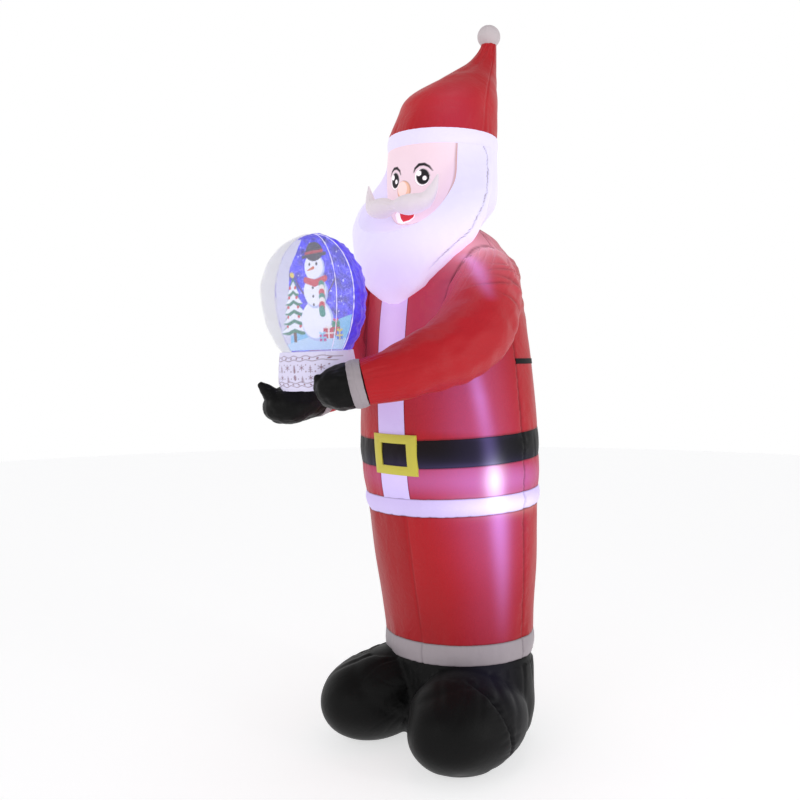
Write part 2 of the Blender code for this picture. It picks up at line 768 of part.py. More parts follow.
def build_arm(name, side, table, mitten_length, thumb_tip, cutters):
    """One sleeve, its cuff and its mitten, cut by the coat and by the globe's base."""
    coat_cutter, base_cutter = cutters
    rows = smooth_run(table, 2)
    points = [arm_point(row[:3], side) for row in rows]
    radii = [row[3] * SHARE for row in rows]
    wrist, radius = points[-1], radii[-1]
    heading = (wrist - points[-2]).normalized()
    sleeve = new_object(f"sleeve_{name}", tube_mesh("sleeve", points, radii), "red")
    combine(sleeve, coat_cutter, "DIFFERENCE")
    cuff_points, cuff_radii = [], []
    for i in range(4):
        share = i / 3
        cuff_points.append(wrist + heading * (SEAM_GAP + CUFF_LENGTH * share))
        cuff_radii.append(radius + CUFF_SWELL * math.sin(math.pi * share))
    cuff = new_object(f"cuff_{name}", tube_mesh("cuff", cuff_points, cuff_radii), "white")
    combine(cuff, base_cutter, "DIFFERENCE")
    start = cuff_points[-1] + heading * SEAM_GAP
    thumb_tip = arm_point(thumb_tip, side)
    mitten = build_mitten(name, start, heading, radius, mitten_length * SHARE, thumb_tip)
    combine(mitten, base_cutter, "DIFFERENCE")


def build_mitten(name, start, heading, radius, length, thumb_tip):
    """A mitten laid palm up, fuller and flatter than its wrist, its thumb at the front corner."""
    points, radii = [], []
    steps = 8
    for i in range(steps + 1):
        share = math.sin(math.pi / 2 * i / steps)
        points.append(start + heading * length * share)
        full = 1 + (MITTEN_FULL - 1) * math.sin(math.pi * share)
        radii.append(radius * full * math.sqrt(max(1 - share**4, 0.02)))
    mesh = tube_mesh("mitten", points, radii)
    for vertex in mesh.vertices:
        along = (vertex.co - start).dot(heading)
        flat = 1 - (1 - MITTEN_FLAT) * min(max(along / radius, 0.0), 1.0)
        middle = start.z + heading.z * along
        vertex.co.z = middle + (vertex.co.z - middle) * flat
    mitten = new_object(f"mitten_{name}", mesh, "black")
    root = start + heading * length * THUMB_PLACE
    thumb_points = [root + (thumb_tip - root) * i / 5 for i in range(6)]
    thumb_radii = [THUMB_RADIUS * SHARE * scale for scale in (1.35, 1.3, 1.2, 1.05, 0.85, 0.35)]
    thumb_mesh = tube_mesh("thumb", thumb_points, thumb_radii, TUBE_ROUNDNESS)
    combine(mitten, new_object(f"thumb_form_{name}", thumb_mesh), "UNION")
    return mitten


def main():
    """Builds every piece of the figure."""
    clear_scene()
    head_cutters = build_head_cutters()
    coat_cutter = body_cutter("coat_cutter", SEAM_GAP)
    build_boots(coat_cutter)
    build_coat(head_cutters)
    build_buckle(coat_cutter)
    build_strap(coat_cutter)
    build_head()
    build_moustache(head_cutters)
    build_hat()
    build_globe()
    base_cutter = new_object("base_cutter", base_mesh("base_cutter", SEAM_GAP, SEAM_GAP))
    base_cutter.matrix_world = globe_frame()
    cutters = (coat_cutter, base_cutter)
    build_arm("left", LEFT, LEFT_ARM, LEFT_MITTEN, LEFT_THUMB, cutters)
    build_arm("right", RIGHT, RIGHT_ARM, RIGHT_MITTEN, RIGHT_THUMB, cutters)


main()
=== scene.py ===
"""Inflatable Santa that holds a snow globe: its cloth, its prints, its clear film and its light.

Metres, +Z up. Santa faces -Y and his left side is +X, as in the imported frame. Every skin is drawn
anew at the place of its solid, fine enough for the gathers, puckers and creases of sewn cloth.
"""

import logging
import math
from dataclasses import dataclass, replace
from enum import Enum

import bmesh
import bpy
import numpy as np
from mathutils import Matrix, Vector


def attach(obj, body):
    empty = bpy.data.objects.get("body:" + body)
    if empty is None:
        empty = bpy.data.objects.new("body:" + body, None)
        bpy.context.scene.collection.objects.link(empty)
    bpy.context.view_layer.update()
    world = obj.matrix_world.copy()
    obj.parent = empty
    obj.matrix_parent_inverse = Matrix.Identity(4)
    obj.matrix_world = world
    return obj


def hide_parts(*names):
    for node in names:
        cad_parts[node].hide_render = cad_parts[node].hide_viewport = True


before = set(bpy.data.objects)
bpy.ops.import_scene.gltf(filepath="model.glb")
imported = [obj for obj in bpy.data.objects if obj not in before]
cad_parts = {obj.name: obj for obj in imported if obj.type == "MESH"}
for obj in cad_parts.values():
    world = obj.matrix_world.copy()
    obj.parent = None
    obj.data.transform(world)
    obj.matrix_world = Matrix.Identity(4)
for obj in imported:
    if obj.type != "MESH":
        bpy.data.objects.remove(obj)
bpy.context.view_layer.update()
LOG = logging.getLogger("inflatable_santa")
FULL_TURN = 2 * math.pi
UPWARD = np.array([0.0, 0.0, 1.0])
CLOTH_THICKNESS = 0.004
INK_EDGE = 0.0025
SHARP_EDGE = math.radians(55)
SEAM_TURNS = (math.pi / 2, -math.pi / 2)
ROOT = "root"
Place = tuple[float, float]


class Side(Enum):
    """His left or his right arm, as the sign of its X."""

    LEFT = 1
    RIGHT = -1


def linear(code: str) -> np.ndarray:
    """Turns an sRGB hex colour to linear red, green and blue.

    Args:
        code: The colour, such as "#C22733".

    Returns:
        Three linear values from 0 to 1.
    """
    srgb = np.array([int(code[i : i + 2], 16) / 255 for i in (1, 3, 5)])
    return np.where(srgb <= 0.04045, srgb / 12.92, ((srgb + 0.055) / 1.055) ** 2.4)


def add_node(
    tree: bpy.types.NodeTree, kind: str, settings: dict[str, object], links: dict[str, object]
) -> bpy.types.Node:
    """Adds a shader node.

    Args:
        tree: The tree that takes the node.
        kind: The node's type name.
        settings: Values by name, for the node's properties and its input sockets.
        links: Output sockets by the name of the input that each goes to.

    Returns:
        The node.
    """
    node = tree.nodes.new(kind)
    for name, value in settings.items():
        if hasattr(node, name):
            setattr(node, name, value)
        else:
            node.inputs[name].default_value = value
    for name, output in links.items():
        tree.links.new(output, node.inputs[int(name) if name.isdigit() else name])
    return node


@dataclass(frozen=True)
class Lamp:
    """The light of a lamp inside, as it shows on the cloth: brightest at its centre."""

    centre: tuple[float, float, float]
    reach: tuple[float, float, float]
    colour: str
    strength: float

    def on(self, points: np.ndarray) -> np.ndarray:
        """Gives the lamp's light at each point.

        Args:
            points: Places in metres, one row for each.

        Returns:
            Linear light of the same shape.
        """
        away = (points - np.array(self.centre)) / np.array(self.reach)
        share = np.exp(-(away**2).sum(axis=-1))
        return share[..., None] * linear(self.colour) * self.strength


@dataclass(frozen=True)
class LightStreak:
    """The upright streak that the lamps inside draw on his left side.

    Each row of the table holds a height, the streak's X and Y there, its width and its strength.
    """

    rows: tuple[tuple[float, float, float, float, float], ...]
    colour: str

    def on(self, points: np.ndarray) -> np.ndarray:
        """Gives the streak's light at each point, as a lamp does.

        Args:
            points: Places in metres, one row for each.

        Returns:
            Linear light of the same shape.
        """
        table = np.array(self.rows)
        x, y, width, strength = (
            np.interp(points[..., 2], table[:, 0], table[:, column]) for column in (1, 2, 3, 4)
        )
        away = np.hypot(points[..., 0] - x, points[..., 1] - y)
        return (bump(away, width) * strength)[..., None] * linear(self.colour)


LED = "#AF9CFF"
# The streak down his left side, its wide halo, the streak on the left upper arm, and then the soft
# patches: arm, trim under the belt, collar, chest, hat and the top of the stripe.
LAMPS = (
    LightStreak(
        (
            (0.50, 0.380, -0.120, 0.040, 0.00),
            (0.70, 0.389, -0.139, 0.040, 0.22),
            (1.00, 0.408, -0.180, 0.045, 0.68),
            (1.15, 0.414, -0.200, 0.050, 0.95),
            (1.26, 0.417, -0.225, 0.042, 1.20),
            (1.37, 0.412, -0.245, 0.036, 1.10),
            (1.41, 0.410, -0.255, 0.038, 0.62),
            (1.50, 0.402, -0.265, 0.038, 0.50),
            (1.55, 0.397, -0.275, 0.040, 0.42),
            (1.70, 0.380, -0.300, 0.036, 0.62),
            (1.90, 0.345, -0.330, 0.030, 0.30),
            (2.10, 0.310, -0.330, 0.030, 0.00),
        ),
        LED,
    ),
    LightStreak(
        (
            (0.45, 0.360, -0.180, 0.120, 0.03),
            (0.80, 0.385, -0.190, 0.130, 0.14),
            (1.10, 0.400, -0.230, 0.160, 0.28),
            (1.37, 0.380, -0.280, 0.200, 0.40),
            (1.41, 0.375, -0.285, 0.120, 0.10),
            (1.50, 0.370, -0.290, 0.120, 0.10),
            (1.55, 0.360, -0.300, 0.160, 0.26),
            (1.90, 0.330, -0.320, 0.140, 0.22),
            (2.20, 0.280, -0.330, 0.140, 0.12),
            (2.45, 0.240, -0.300, 0.140, 0.05),
        ),
        LED,
    ),
    LightStreak(
        (
            (2.120, 0.560, -0.430, 0.030, 0.00),
            (2.185, 0.508, -0.409, 0.032, 0.34),
            (2.227, 0.471, -0.391, 0.036, 0.50),
            (2.271, 0.428, -0.367, 0.040, 0.66),
            (2.307, 0.383, -0.342, 0.042, 0.62),
            (2.338, 0.319, -0.294, 0.044, 0.50),
            (2.367, 0.247, -0.237, 0.044, 0.20),
            (2.400, 0.240, -0.230, 0.044, 0.00),
        ),
        LED,
    ),
    Lamp((0.42, -0.22, 2.22), (0.16, 0.20, 0.16), "#FFB1B6", 0.14),
    Lamp((0.14, -0.42, 1.315), (0.36, 0.30, 0.070), LED, 0.36),
    Lamp((0.42, -0.12, 1.315), (0.20, 0.22, 0.070), LED, 0.50),
    Lamp((0.415, -0.235, 1.325), (0.036, 0.050, 0.080), "#F4FFF4", 1.10),
    Lamp((0.42, -0.15, 1.200), (0.18, 0.24, 0.040), "#FFFDE8", 0.55),
    Lamp((0.20, -0.25, 2.42), (0.18, 0.22, 0.10), "#D8C8E4", 0.80),
    Lamp((0.33, -0.14, 2.36), (0.12, 0.16, 0.10), "#F0CCE4", 0.42),
    Lamp((0.42, -0.24, 2.24), (0.13, 0.14, 0.12), "#F0A8C8", 0.26),
    Lamp((0.05, -0.50, 2.05), (0.34, 0.22, 0.34), "#FF74A0", 0.28),
    Lamp((0.0, -0.20, 3.12), (0.35, 0.35, 0.20), "#FF6A70", 0.14),
    Lamp((0.0, -0.50, 2.05), (0.07, 0.15, 0.18), "#E8F0FF", 0.16),
)


@dataclass(frozen=True)
class Waves:
    """Uneven dents through space: many sines of about one length, longer along Z when upright."""

    seed: int
    length: float
    upright: float = 1.0

    def at(self, points: np.ndarray) -> np.ndarray:
        """Gives the height of the waves, mostly within -1 and 1.

        Args:
            points: Places in metres, the last axis X, Y and Z.

        Returns:
            One height for each place.
        """
        draw = np.random.default_rng(self.seed)
        count = 16
        ways = draw.normal(size=(count, 3))
        ways /= np.linalg.norm(ways, axis=1, keepdims=True)
        ways[:, 2] /= self.upright
        turns = FULL_TURN / self.length * draw.uniform(0.6, 1.5, (count, 1))
        phases = draw.uniform(0, FULL_TURN, count)
        return np.sin(points @ (ways * turns).T + phases).sum(axis=-1) / math.sqrt(count)


def wrapped(turn: np.ndarray) -> np.ndarray:
    """Brings an angle to between minus and plus half a turn."""
    return (turn + math.pi) % FULL_TURN - math.pi


def bump(away: np.ndarray, width: np.ndarray | float = 1.0) -> np.ndarray:
    """Gives 1 on a line, less beside it and almost nothing at twice the width from it."""
    return np.exp(-((away / width) ** 2))


def gathers(turn: np.ndarray, away: np.ndarray, seed: int, folds: int, reach: float) -> np.ndarray:
    """Draws the short pleats that a tight seam pinches in the cloth beside it.

    Args:
        turn: The angle round the piece at each point.
        away: The distance from the seam at each point, in metres.
        seed: The draw's seed.
        folds: How many pleats there are round the seam.
        reach: About how far a pleat runs, in metres.

    Returns:
        Depths from 0 down to about -1.
    """
    draw = np.random.default_rng(seed)
    depth = np.zeros(np.broadcast(turn, away).shape)
    spacing = FULL_TURN / folds
    for fold in range(folds):
        place = (fold + draw.uniform(-0.4, 0.4)) * spacing
        width = spacing * draw.uniform(0.14, 0.34)
        slant = draw.uniform(-1.2, 1.2)
        length = reach * draw.uniform(0.3, 1.3)
        across = wrapped(turn - place - slant * away)
        dent = bump(across, width) * bump(away, length)
        depth -= draw.uniform(0.3, 1.0) * dent
    return depth


@dataclass(frozen=True)
class Crease:
    """One fold pressed across a tube of cloth."""

    turn: float
    along: float
    span: float
    width: float
    depth: float
    slope: float = 0.0
    ridge_share: float = 0.45
    ridge_place: float = 1.6

    def on(self, turn: np.ndarray, along: np.ndarray) -> np.ndarray:
        """Gives the fold and the small ridge beside it.

        Args:
            turn: The angle round the tube at each point.
            along: The distance along the tube at each point, in metres.

        Returns:
            Heights in metres, below 0 in the fold.
        """
        side = wrapped(turn - self.turn)
        across = (along - self.along - self.slope * side) / self.width
        fade = bump(side, self.span)
        ridge = self.ridge_share * bump(across - self.ridge_place)
        return self.depth * fade * (ridge - bump(across))


class Curve:
    """A smooth curve through a table whose first column runs upwards."""

    def __init__(self, rows: tuple[tuple[float, ...], ...]) -> None:
        """Keeps the table and its slopes.

        Args:
            rows: The table.
        """
        table = np.array(rows, float)
        self.steps = table[:, 0]
        self.values = table[:, 1:]
        self.slopes = np.gradient(self.values, self.steps, axis=0)

    def at(self, place: np.ndarray) -> np.ndarray:
        """Reads the curve.

        Args:
            place: Values of the first column.

        Returns:
            The other columns at each place, one row for each.
        """
        place = np.asarray(place, float)
        highest = len(self.steps) - 2
        below = np.clip(np.searchsorted(self.steps, place, side="right") - 1, 0, highest)
        step = (self.steps[below + 1] - self.steps[below])[:, None]
        t = (place[:, None] - self.steps[below][:, None]) / step
        start, end = self.values[below], self.values[below + 1]
        pull_start, pull_end = self.slopes[below] * step, self.slopes[below + 1] * step
        rising = start * (2 * t**3 - 3 * t**2 + 1) + pull_start * (t**3 - 2 * t**2 + t)
        return rising + end * (3 * t**2 - 2 * t**3) + pull_end * (t**3 - t**2)

    def over(self, places: np.ndarray) -> np.ndarray:
        """Reads the curve over an array of any shape, with its other columns last."""
        return self.at(places.ravel()).reshape(*places.shape, -1)


class Print:
    """Ink on cloth: shapes laid one over another, as colour only."""

    def __init__(self, across: np.ndarray, upward: np.ndarray) -> None:
        """Takes each point's place on the cloth, in metres.

        Args:
            across: How far across each point lies.
            upward: How far up it lies.
        """
        self.across = across
        self.upward = upward
        self.ink = np.zeros((*across.shape, 4))

    def lay(self, outside: np.ndarray, colour: str, cover: float = 1.0) -> None:
        """Lays ink where the distance outside a shape is negative.

        Args:
            outside: The distance outside the shape at each point, in metres.
            colour: The ink's sRGB hex colour.
            cover: How much of the cloth the ink hides.
        """
        share = np.clip(0.5 - outside / INK_EDGE, 0, 1)[..., None] * cover
        layer = np.append(linear(colour), 1.0)
        self.ink = self.ink * (1 - share) + layer * share

    def ellipse(
        self, x: float, z: float, half_x: float, half_z: float, colour: str, tilt: float = 0.0
    ) -> None:
        """Lays a filled ellipse.

        Args:
            x: Its middle, across.
            z: Its middle, upward.
            half_x: Its half width.
            half_z: Its half height.
            colour: The ink's sRGB hex colour.
            tilt: Its tilt in degrees.
        """
        a, b = self.across - x, self.upward - z
        turn = math.radians(tilt)
        u = (a * math.cos(turn) + b * math.sin(turn)) / half_x
        v = (b * math.cos(turn) - a * math.sin(turn)) / half_z
        self.lay((np.sqrt(u**2 + v**2) - 1) * min(half_x, half_z), colour)

    def beside(self, start: Place, end: Place) -> tuple[np.ndarray, np.ndarray]:
        """Measures each point against a straight stretch.

        Args:
            start: The stretch's first end.
            end: Its other end.

        Returns:
            How far along the stretch the nearest place lies, from 0 to 1, and how far away it is.
        """
        (x0, z0), (x1, z1) = start, end
        dx, dz = x1 - x0, z1 - z0
        share = ((self.across - x0) * dx + (self.upward - z0) * dz) / (dx * dx + dz * dz)
        share = np.clip(share, 0, 1)
        return share, np.hypot(self.across - x0 - share * dx, self.upward - z0 - share * dz)

    def stroke(self, points: list[Place], widths: list[float], colour: str) -> None:
        """Lays a line.

        Args:
            points: The places that it runs through.
            widths: Its width at each.
            colour: The ink's sRGB hex colour.
        """
        nearest = np.full(self.across.shape, np.inf)
        for start, end, w0, w1 in zip(points, points[1:], widths, widths[1:]):
            share, gap = self.beside(start, end)
            nearest = np.minimum(nearest, gap - (w0 + (w1 - w0) * share) / 2)
        self.lay(nearest, colour)

    def shape(self, points: list[Place], colour: str) -> None:
        """Lays a filled outline of any form.

        Args:
            points: Its corners in order.
            colour: The ink's sRGB hex colour.
        """
        inside = np.zeros(self.across.shape, bool)
        nearest = np.full(self.across.shape, np.inf)
        for (x0, z0), (x1, z1) in zip(points, points[1:] + points[:1]):
            nearest = np.minimum(nearest, self.beside((x0, z0), (x1, z1))[1])
            if z1 != z0:
                crossing = x0 + (self.upward - z0) / (z1 - z0) * (x1 - x0)
                passed = (self.upward >= min(z0, z1)) & (self.upward < max(z0, z1))
                inside ^= passed & (self.across < crossing)
        self.lay(np.where(inside, -nearest, nearest), colour)


@dataclass(frozen=True)
class Taffeta:
    """Coated polyester taffeta: plain woven, thin enough for a lamp to shine through, satin.

    Its weave gives a soft broad highlight, and air pressure leaves fine crinkles in it. The real
    threads lie 0.3 mm apart, too fine to show, so the weave is drawn every few millimetres.
    """

    name: str
    colour: str
    passes: str
    even_light: float = 0.0
    roughness: float = 0.40
    sheen: float = 0.15
    crinkle: float = 0.25
    weave_mm: float = 7.0
    slot: str = "red_taffeta"
    printed: bool = False
    glow: float = 1.0
    gloss: float = 0.5
    # The colour that seam lines and painted shade darken towards.
    seam_and_shade_colour: str = "#8A7C84"
    mottle: float = 0.08
    mottle_mm: float = 250.0

    def material(self) -> bpy.types.Material:
        """Makes the finish's material once, and gives it again after that.

        Returns:
            The material.
        """
        known = bpy.data.materials.get(self.name)
        if known:
            return known
        made = bpy.data.materials.new(self.name)
        made.use_nodes = True
        tree = made.node_tree
        shader = tree.nodes["Principled BSDF"]
        shader.inputs["Roughness"].default_value = self.roughness
        shader.inputs["Sheen Weight"].default_value = self.sheen
        shader.inputs["IOR"].default_value = 1.5
        shader.inputs["Specular IOR Level"].default_value = self.gloss
        place = add_node(tree, "ShaderNodeTexCoord", {}, {}).outputs["Object"]
        base = linear(self.colour)
        settings = {"Scale": 1000 / self.mottle_mm, "Detail": 4.0}
        cloud = add_node(tree, "ShaderNodeTexNoise", settings, {"Vector": place})
        mix = {"data_type": "RGBA"}
        tone = add_node(tree, "ShaderNodeMix", mix, {"0": cloud.outputs["Fac"]})
        tone.inputs[6].default_value = (*base * (1 - self.mottle), 1)
        tone.inputs[7].default_value = (*np.minimum(base * (1 + self.mottle), 1), 1)
        colour = tone.outputs[2]
        light = add_node(tree, "ShaderNodeAttribute", {"attribute_name": "lamplight"}, {})
        light = light.outputs["Color"]
        dim = {"data_type": "RGBA", "blend_type": "MULTIPLY"}
        if self.printed:
            ink = add_node(tree, "ShaderNodeAttribute", {"attribute_name": "ink"}, {})
            links = {"0": ink.outputs["Alpha"], "6": colour, "7": ink.outputs["Color"]}
            colour = add_node(tree, "ShaderNodeMix", mix, links).outputs[2]
            links["6"] = light
            light = add_node(tree, "ShaderNodeMix", dim, links).outputs[2]
        # Seam lines and painted shade: where the value is set, the colour and the glow go darker
        # towards the seam colour.
        seam = add_node(tree, "ShaderNodeAttribute", {"attribute_name": "stitch"}, {})
        for socket, tone in (("Base Color", colour), ("Emission Color", light)):
            mixed = add_node(tree, "ShaderNodeMix", dim, {"0": seam.outputs["Fac"], "6": tone})
            mixed.inputs[7].default_value = (*linear(self.seam_and_shade_colour), 1)
            tree.links.new(mixed.outputs[2], shader.inputs[socket])
        shader.inputs["Emission Strength"].default_value = 1.0
        tree.links.new(self.relief(tree, place), shader.inputs["Normal"])
        return made

    def relief(self, tree: bpy.types.NodeTree, place: bpy.types.NodeSocket) -> bpy.types.NodeSocket:
        """Adds the weave and the crinkles as bump.

        Args:
            tree: The material's nodes.
            place: The coordinates in metres.

        Returns:
            The normal.
        """
        # A wave texture runs through 20 radians for each unit of its scale.
        threads = FULL_TURN / (self.weave_mm / 1000) / 20
        height = None
        for way in ("X", "Y", "Z"):
            settings = {"wave_type": "BANDS", "bands_direction": way, "Scale": threads}
            wave = add_node(tree, "ShaderNodeTexWave", settings, {"Vector": place})
            if height is None:
                height = wave.outputs["Fac"]
                continue
            links = {"0": height, "1": wave.outputs["Fac"]}
            height = add_node(tree, "ShaderNodeMath", {"operation": "ADD"}, links).outputs[0]
        weave = add_node(
            tree, "ShaderNodeBump", {"Strength": 0.06, "Distance": 0.002}, {"Height": height}
        )
        settings = {"Scale": 14.0, "Detail": 5.0, "Roughness": 0.6, "Distortion": 0.6}
        noise = add_node(tree, "ShaderNodeTexNoise", settings, {"Vector": place})
        links = {"Height": noise.outputs["Fac"], "Normal": weave.outputs["Normal"]}
        settings = {"Strength": self.crinkle, "Distance": 0.02}
        return add_node(tree, "ShaderNodeBump", settings, links).outputs["Normal"]


# Red cloth: satin, so the lamps inside draw one soft bright streak and it stays deep beside it.
RED = Taffeta(
    "red_polyester_taffeta",
    "#AE141D",
    "#F03C50",
    0.015,
    roughness=0.42,
    sheen=0.03,
    glow=0.62,
    gloss=0.20,
    seam_and_shade_colour="#5A2A30",
)
# White cloth over a lit inside: milky, a little violet from the lamps, almost without shadow.
WHITE = Taffeta(
    "white_polyester_taffeta",
    "#C0BCCE",
    "#DCD4FF",
    0.47,
    roughness=0.55,
    sheen=0.05,
    crinkle=0.12,
    slot="white_taffeta",
    glow=0.5,
)
# The same cloth with ink rolled on it: the ink lies matt and lets less light through.
PRINTED_WHITE = replace(
    WHITE, name="printed_white_polyester_taffeta", even_light=0.30, glow=1.0, printed=True
)
# The stripe and the waist trim lie over the red: dimmer, with more of the lamps' violet.
VIOLET_WHITE = replace(
    WHITE,
    name="white_polyester_taffeta_lit",
    colour="#B0A4C4",
    passes="#CDB8FF",
    even_light=0.38,
    glow=0.6,
)
# The moustache has no lamp of its own: a copy of the white painted with less glow, so it looks
# warmer and greyer, with soft shading.
SOFT_WHITE = replace(
    WHITE,
    name="white_polyester_taffeta_puffed",
    colour="#CFC6CB",
    passes="#E8DCE6",
    even_light=0.24,
    glow=1.0,
)
# The pompom hardly glows: a light grey ball, painted as a darker copy of the white
# with little glow.
POMPOM_WHITE = replace(
    SOFT_WHITE, name="white_polyester_taffeta_tufted", colour="#BDB3B6", even_light=0.06
)
# The hem and the cuffs are two layers thick, so no lamp shows: painted shade, a grey copy of the
# white with little glow, and more crinkles.
UNLIT_WHITE = replace(
    WHITE,
    name="white_polyester_taffeta_double",
    colour="#9E949A",
    passes="#D8CCE0",
    even_light=0.0,
    crinkle=0.20,
    glow=0.2,
)
# Black cloth lets no light through and keeps a dull satin edge; its faint violet sheen is
# painted on as glow from the lamps' light.
BLACK = Taffeta(
    "black_polyester_taffeta",
    "#0E0E0E",
    "#3A2C80",
    0.0,
    roughness=0.45,
    sheen=0.02,
    crinkle=0.12,
    slot="black_taffeta",
    glow=0.34,
    gloss=0.10,
    seam_and_shade_colour="#404040",
)
# Yellow cloth, stiffened for the buckle: even and matt.
YELLOW = Taffeta(
    "yellow_polyester_taffeta",
    "#C6BC3A",
    "#D8D080",
    0.04,
    roughness=0.50,
    sheen=0.10,
    crinkle=0.12,
    slot="yellow_taffeta",
    glow=0.0,
)
# Pale pink cloth, printed: it glows as the white does, and its inks stay matt.
SKIN = Taffeta(
    "pale_pink_polyester_taffeta",
    "#C9B4BC",
    "#F2D6E4",
    0.44,
    roughness=0.55,
    sheen=0.02,
    crinkle=0.10,
    slot="skin_taffeta",
    printed=True,
    gloss=0.2,
)
# Blue cloth behind the globe, with a painted even glow: strong crinkles that break its shine into
# light and dark flecks, which are also painted into its colour as a strong mottle.
BLUE = Taffeta(
    "blue_polyester_taffeta",
    "#3A36C8",
    "#5A44FF",
    0.35,
    roughness=0.35,
    sheen=0.10,
    crinkle=0.9,
    slot="blue_taffeta",
    mottle=0.7,
    mottle_mm=25.0,
)
# The picture's cloth, lit from behind: bright inks with little gloss.
SCENE_PRINT = Taffeta(
    "printed_blue_polyester_taffeta",
    "#5A58E0",
    "#E0E4FF",
    0.45,
    roughness=0.45,
    sheen=0.05,
    crinkle=0.60,
    slot="blue_taffeta",
    printed=True,
    gloss=0.3,
)
# Webbing woven from split film: dull and ribbed, its ribs about 2 mm apart.
WEBBING = Taffeta(
    "black_polypropylene_webbing",
    "#0A0A0B",
    "#000000",
    0.0,
    roughness=0.80,
    sheen=0.05,
    crinkle=0.05,
    weave_mm=2.0,
    slot="black_webbing",
    glow=0.0,
    gloss=0.2,
)


@dataclass(frozen=True)
class ClearFilm:
    """Clear vinyl film, calendered: it lets nearly all light through and keeps sharp glints."""

    name: str = "clear_vinyl_film"
    haze: float = 0.17
    roughness: float = 0.16
    slot: str = "clear_film"

    def material(self) -> bpy.types.Material:
        """Makes the film's material: mostly see-through, with a glossy face.

        Returns:
            The material.
        """
        made = bpy.data.materials.new(self.name)
        made.use_nodes = True
        tree = made.node_tree
        gloss = tree.nodes["Principled BSDF"]
        gloss.inputs["Base Color"].default_value = (*linear("#C9C7D6"), 1)
        gloss.inputs["Roughness"].default_value = self.roughness
        gloss.inputs["IOR"].default_value = 1.53
        where = add_node(tree, "ShaderNodeTexCoord", {}, {}).outputs["Object"]
        settings = {"Scale": 26.0, "Detail": 4.0, "Distortion": 1.2}
        noise = add_node(tree, "ShaderNodeTexNoise", settings, {"Vector": where})
        settings = {"Strength": 0.5, "Distance": 0.02}
        dents = add_node(tree, "ShaderNodeBump", settings, {"Height": noise.outputs["Fac"]})
        tree.links.new(dents.outputs["Normal"], gloss.inputs["Normal"])
        clear = add_node(tree, "ShaderNodeBsdfTransparent", {}, {})
        links = {"1": clear.outputs[0], "2": gloss.outputs[0]}
        both = add_node(tree, "ShaderNodeMixShader", {"Fac": self.haze}, links)
        tree.links.new(both.outputs[0], tree.nodes["Material Output"].inputs["Surface"])
        return made


Finish = Taffeta | ClearFilm


@dataclass
class Skin:
    """A grid of points: rows run along a piece, and columns run round it or across it."""

    points: np.ndarray
    closed: bool = True
    ink: np.ndarray | None = None
    stitch: np.ndarray | None = None

    def normals(self) -> np.ndarray:
        """Works out which way is outward.

        Returns:
            The unit direction at each point.
        """
        if self.closed:
            across = np.roll(self.points, -1, axis=1) - np.roll(self.points, 1, axis=1)
        else:
            across = np.gradient(self.points, axis=1)
        outward = np.cross(across, np.gradient(self.points, axis=0))
        return outward / np.maximum(np.linalg.norm(outward, axis=2, keepdims=True), 1e-12)

    def push(self, amount: np.ndarray) -> "Skin":
        """Moves each point outward by its amount in metres, and gives the same skin."""
        self.points = self.points + self.normals() * np.asarray(amount)[..., None]
        return self

    def faces(self) -> tuple[np.ndarray, list[tuple[int, ...]]]:
        """Closes the skin: by a fan at each end, or by a back and walls where it is open.

        Returns:
            The corner points, and the faces as tuples of their numbers.
        """
        rows, columns, _ = self.points.shape
        numbers = np.arange(rows * columns).reshape(rows, columns)
        if self.closed:
            after = np.roll(numbers, -1, axis=1)
            quads = [numbers[:-1], after[:-1], after[1:], numbers[1:]]
            faces = [tuple(q) for q in np.stack(quads, axis=-1).reshape(-1, 4).tolist()]
            middles = self.points[[0, -1]].mean(axis=1)
            foot, top = rows * columns, rows * columns + 1
            faces += [(b, a, foot) for a, b in zip(numbers[0].tolist(), after[0].tolist())]
            faces += [(a, b, top) for a, b in zip(numbers[-1].tolist(), after[-1].tolist())]
            return np.vstack([self.points.reshape(-1, 3), middles]), faces
        back = numbers + rows * columns
        quad = [numbers[:-1, :-1], numbers[:-1, 1:], numbers[1:, 1:], numbers[1:, :-1]]
        front = np.stack(quad, -1)
        behind = np.stack([back[:-1, :-1], back[1:, :-1], back[1:, 1:], back[:-1, 1:]], -1)
        walls = []
        for line, hidden in (
            (numbers[0], back[0]),
            (numbers[-1, ::-1], back[-1, ::-1]),
            (numbers[::-1, 0], back[::-1, 0]),
            (numbers[:, -1], back[:, -1]),
        ):
            walls.append(np.stack([line[1:], line[:-1], hidden[:-1], hidden[1:]], -1))
        parts = [front.reshape(-1, 4), behind.reshape(-1, 4), *walls]
        faces = [tuple(q) for q in np.vstack(parts).tolist()]
        inner = self.points - self.normals() * CLOTH_THICKNESS
        return np.vstack([self.points.reshape(-1, 3), inner.reshape(-1, 3)]), faces

    def build(self, name: str, finish: Finish) -> bpy.types.Object:
        """Makes the piece.

        Args:
            name: The piece's name.
            finish: Its finish.

        Returns:
            The object, in the scene.
        """
        corners, faces = self.faces()
        mesh = bpy.data.meshes.new(name)
        mesh.from_pydata(corners.tolist(), [], faces)
        if self.ink is not None:
            ink = np.zeros((len(corners), 4))
            flat = self.ink.reshape(-1, 4)
            ink[: len(flat)] = flat
            layer = mesh.color_attributes.new("ink", "FLOAT_COLOR", "POINT")
            layer.data.foreach_set("color", ink.ravel())
        # Seam lines and painted shade, one value for each point.
        if self.stitch is not None:
            seam = np.zeros(len(corners))
            flat = np.broadcast_to(self.stitch, self.points.shape[:2]).ravel()
            seam[: len(flat)] = flat
            mesh.attributes.new("stitch", "FLOAT", "POINT").data.foreach_set("value", seam)
        return dressed(name, mesh, finish)


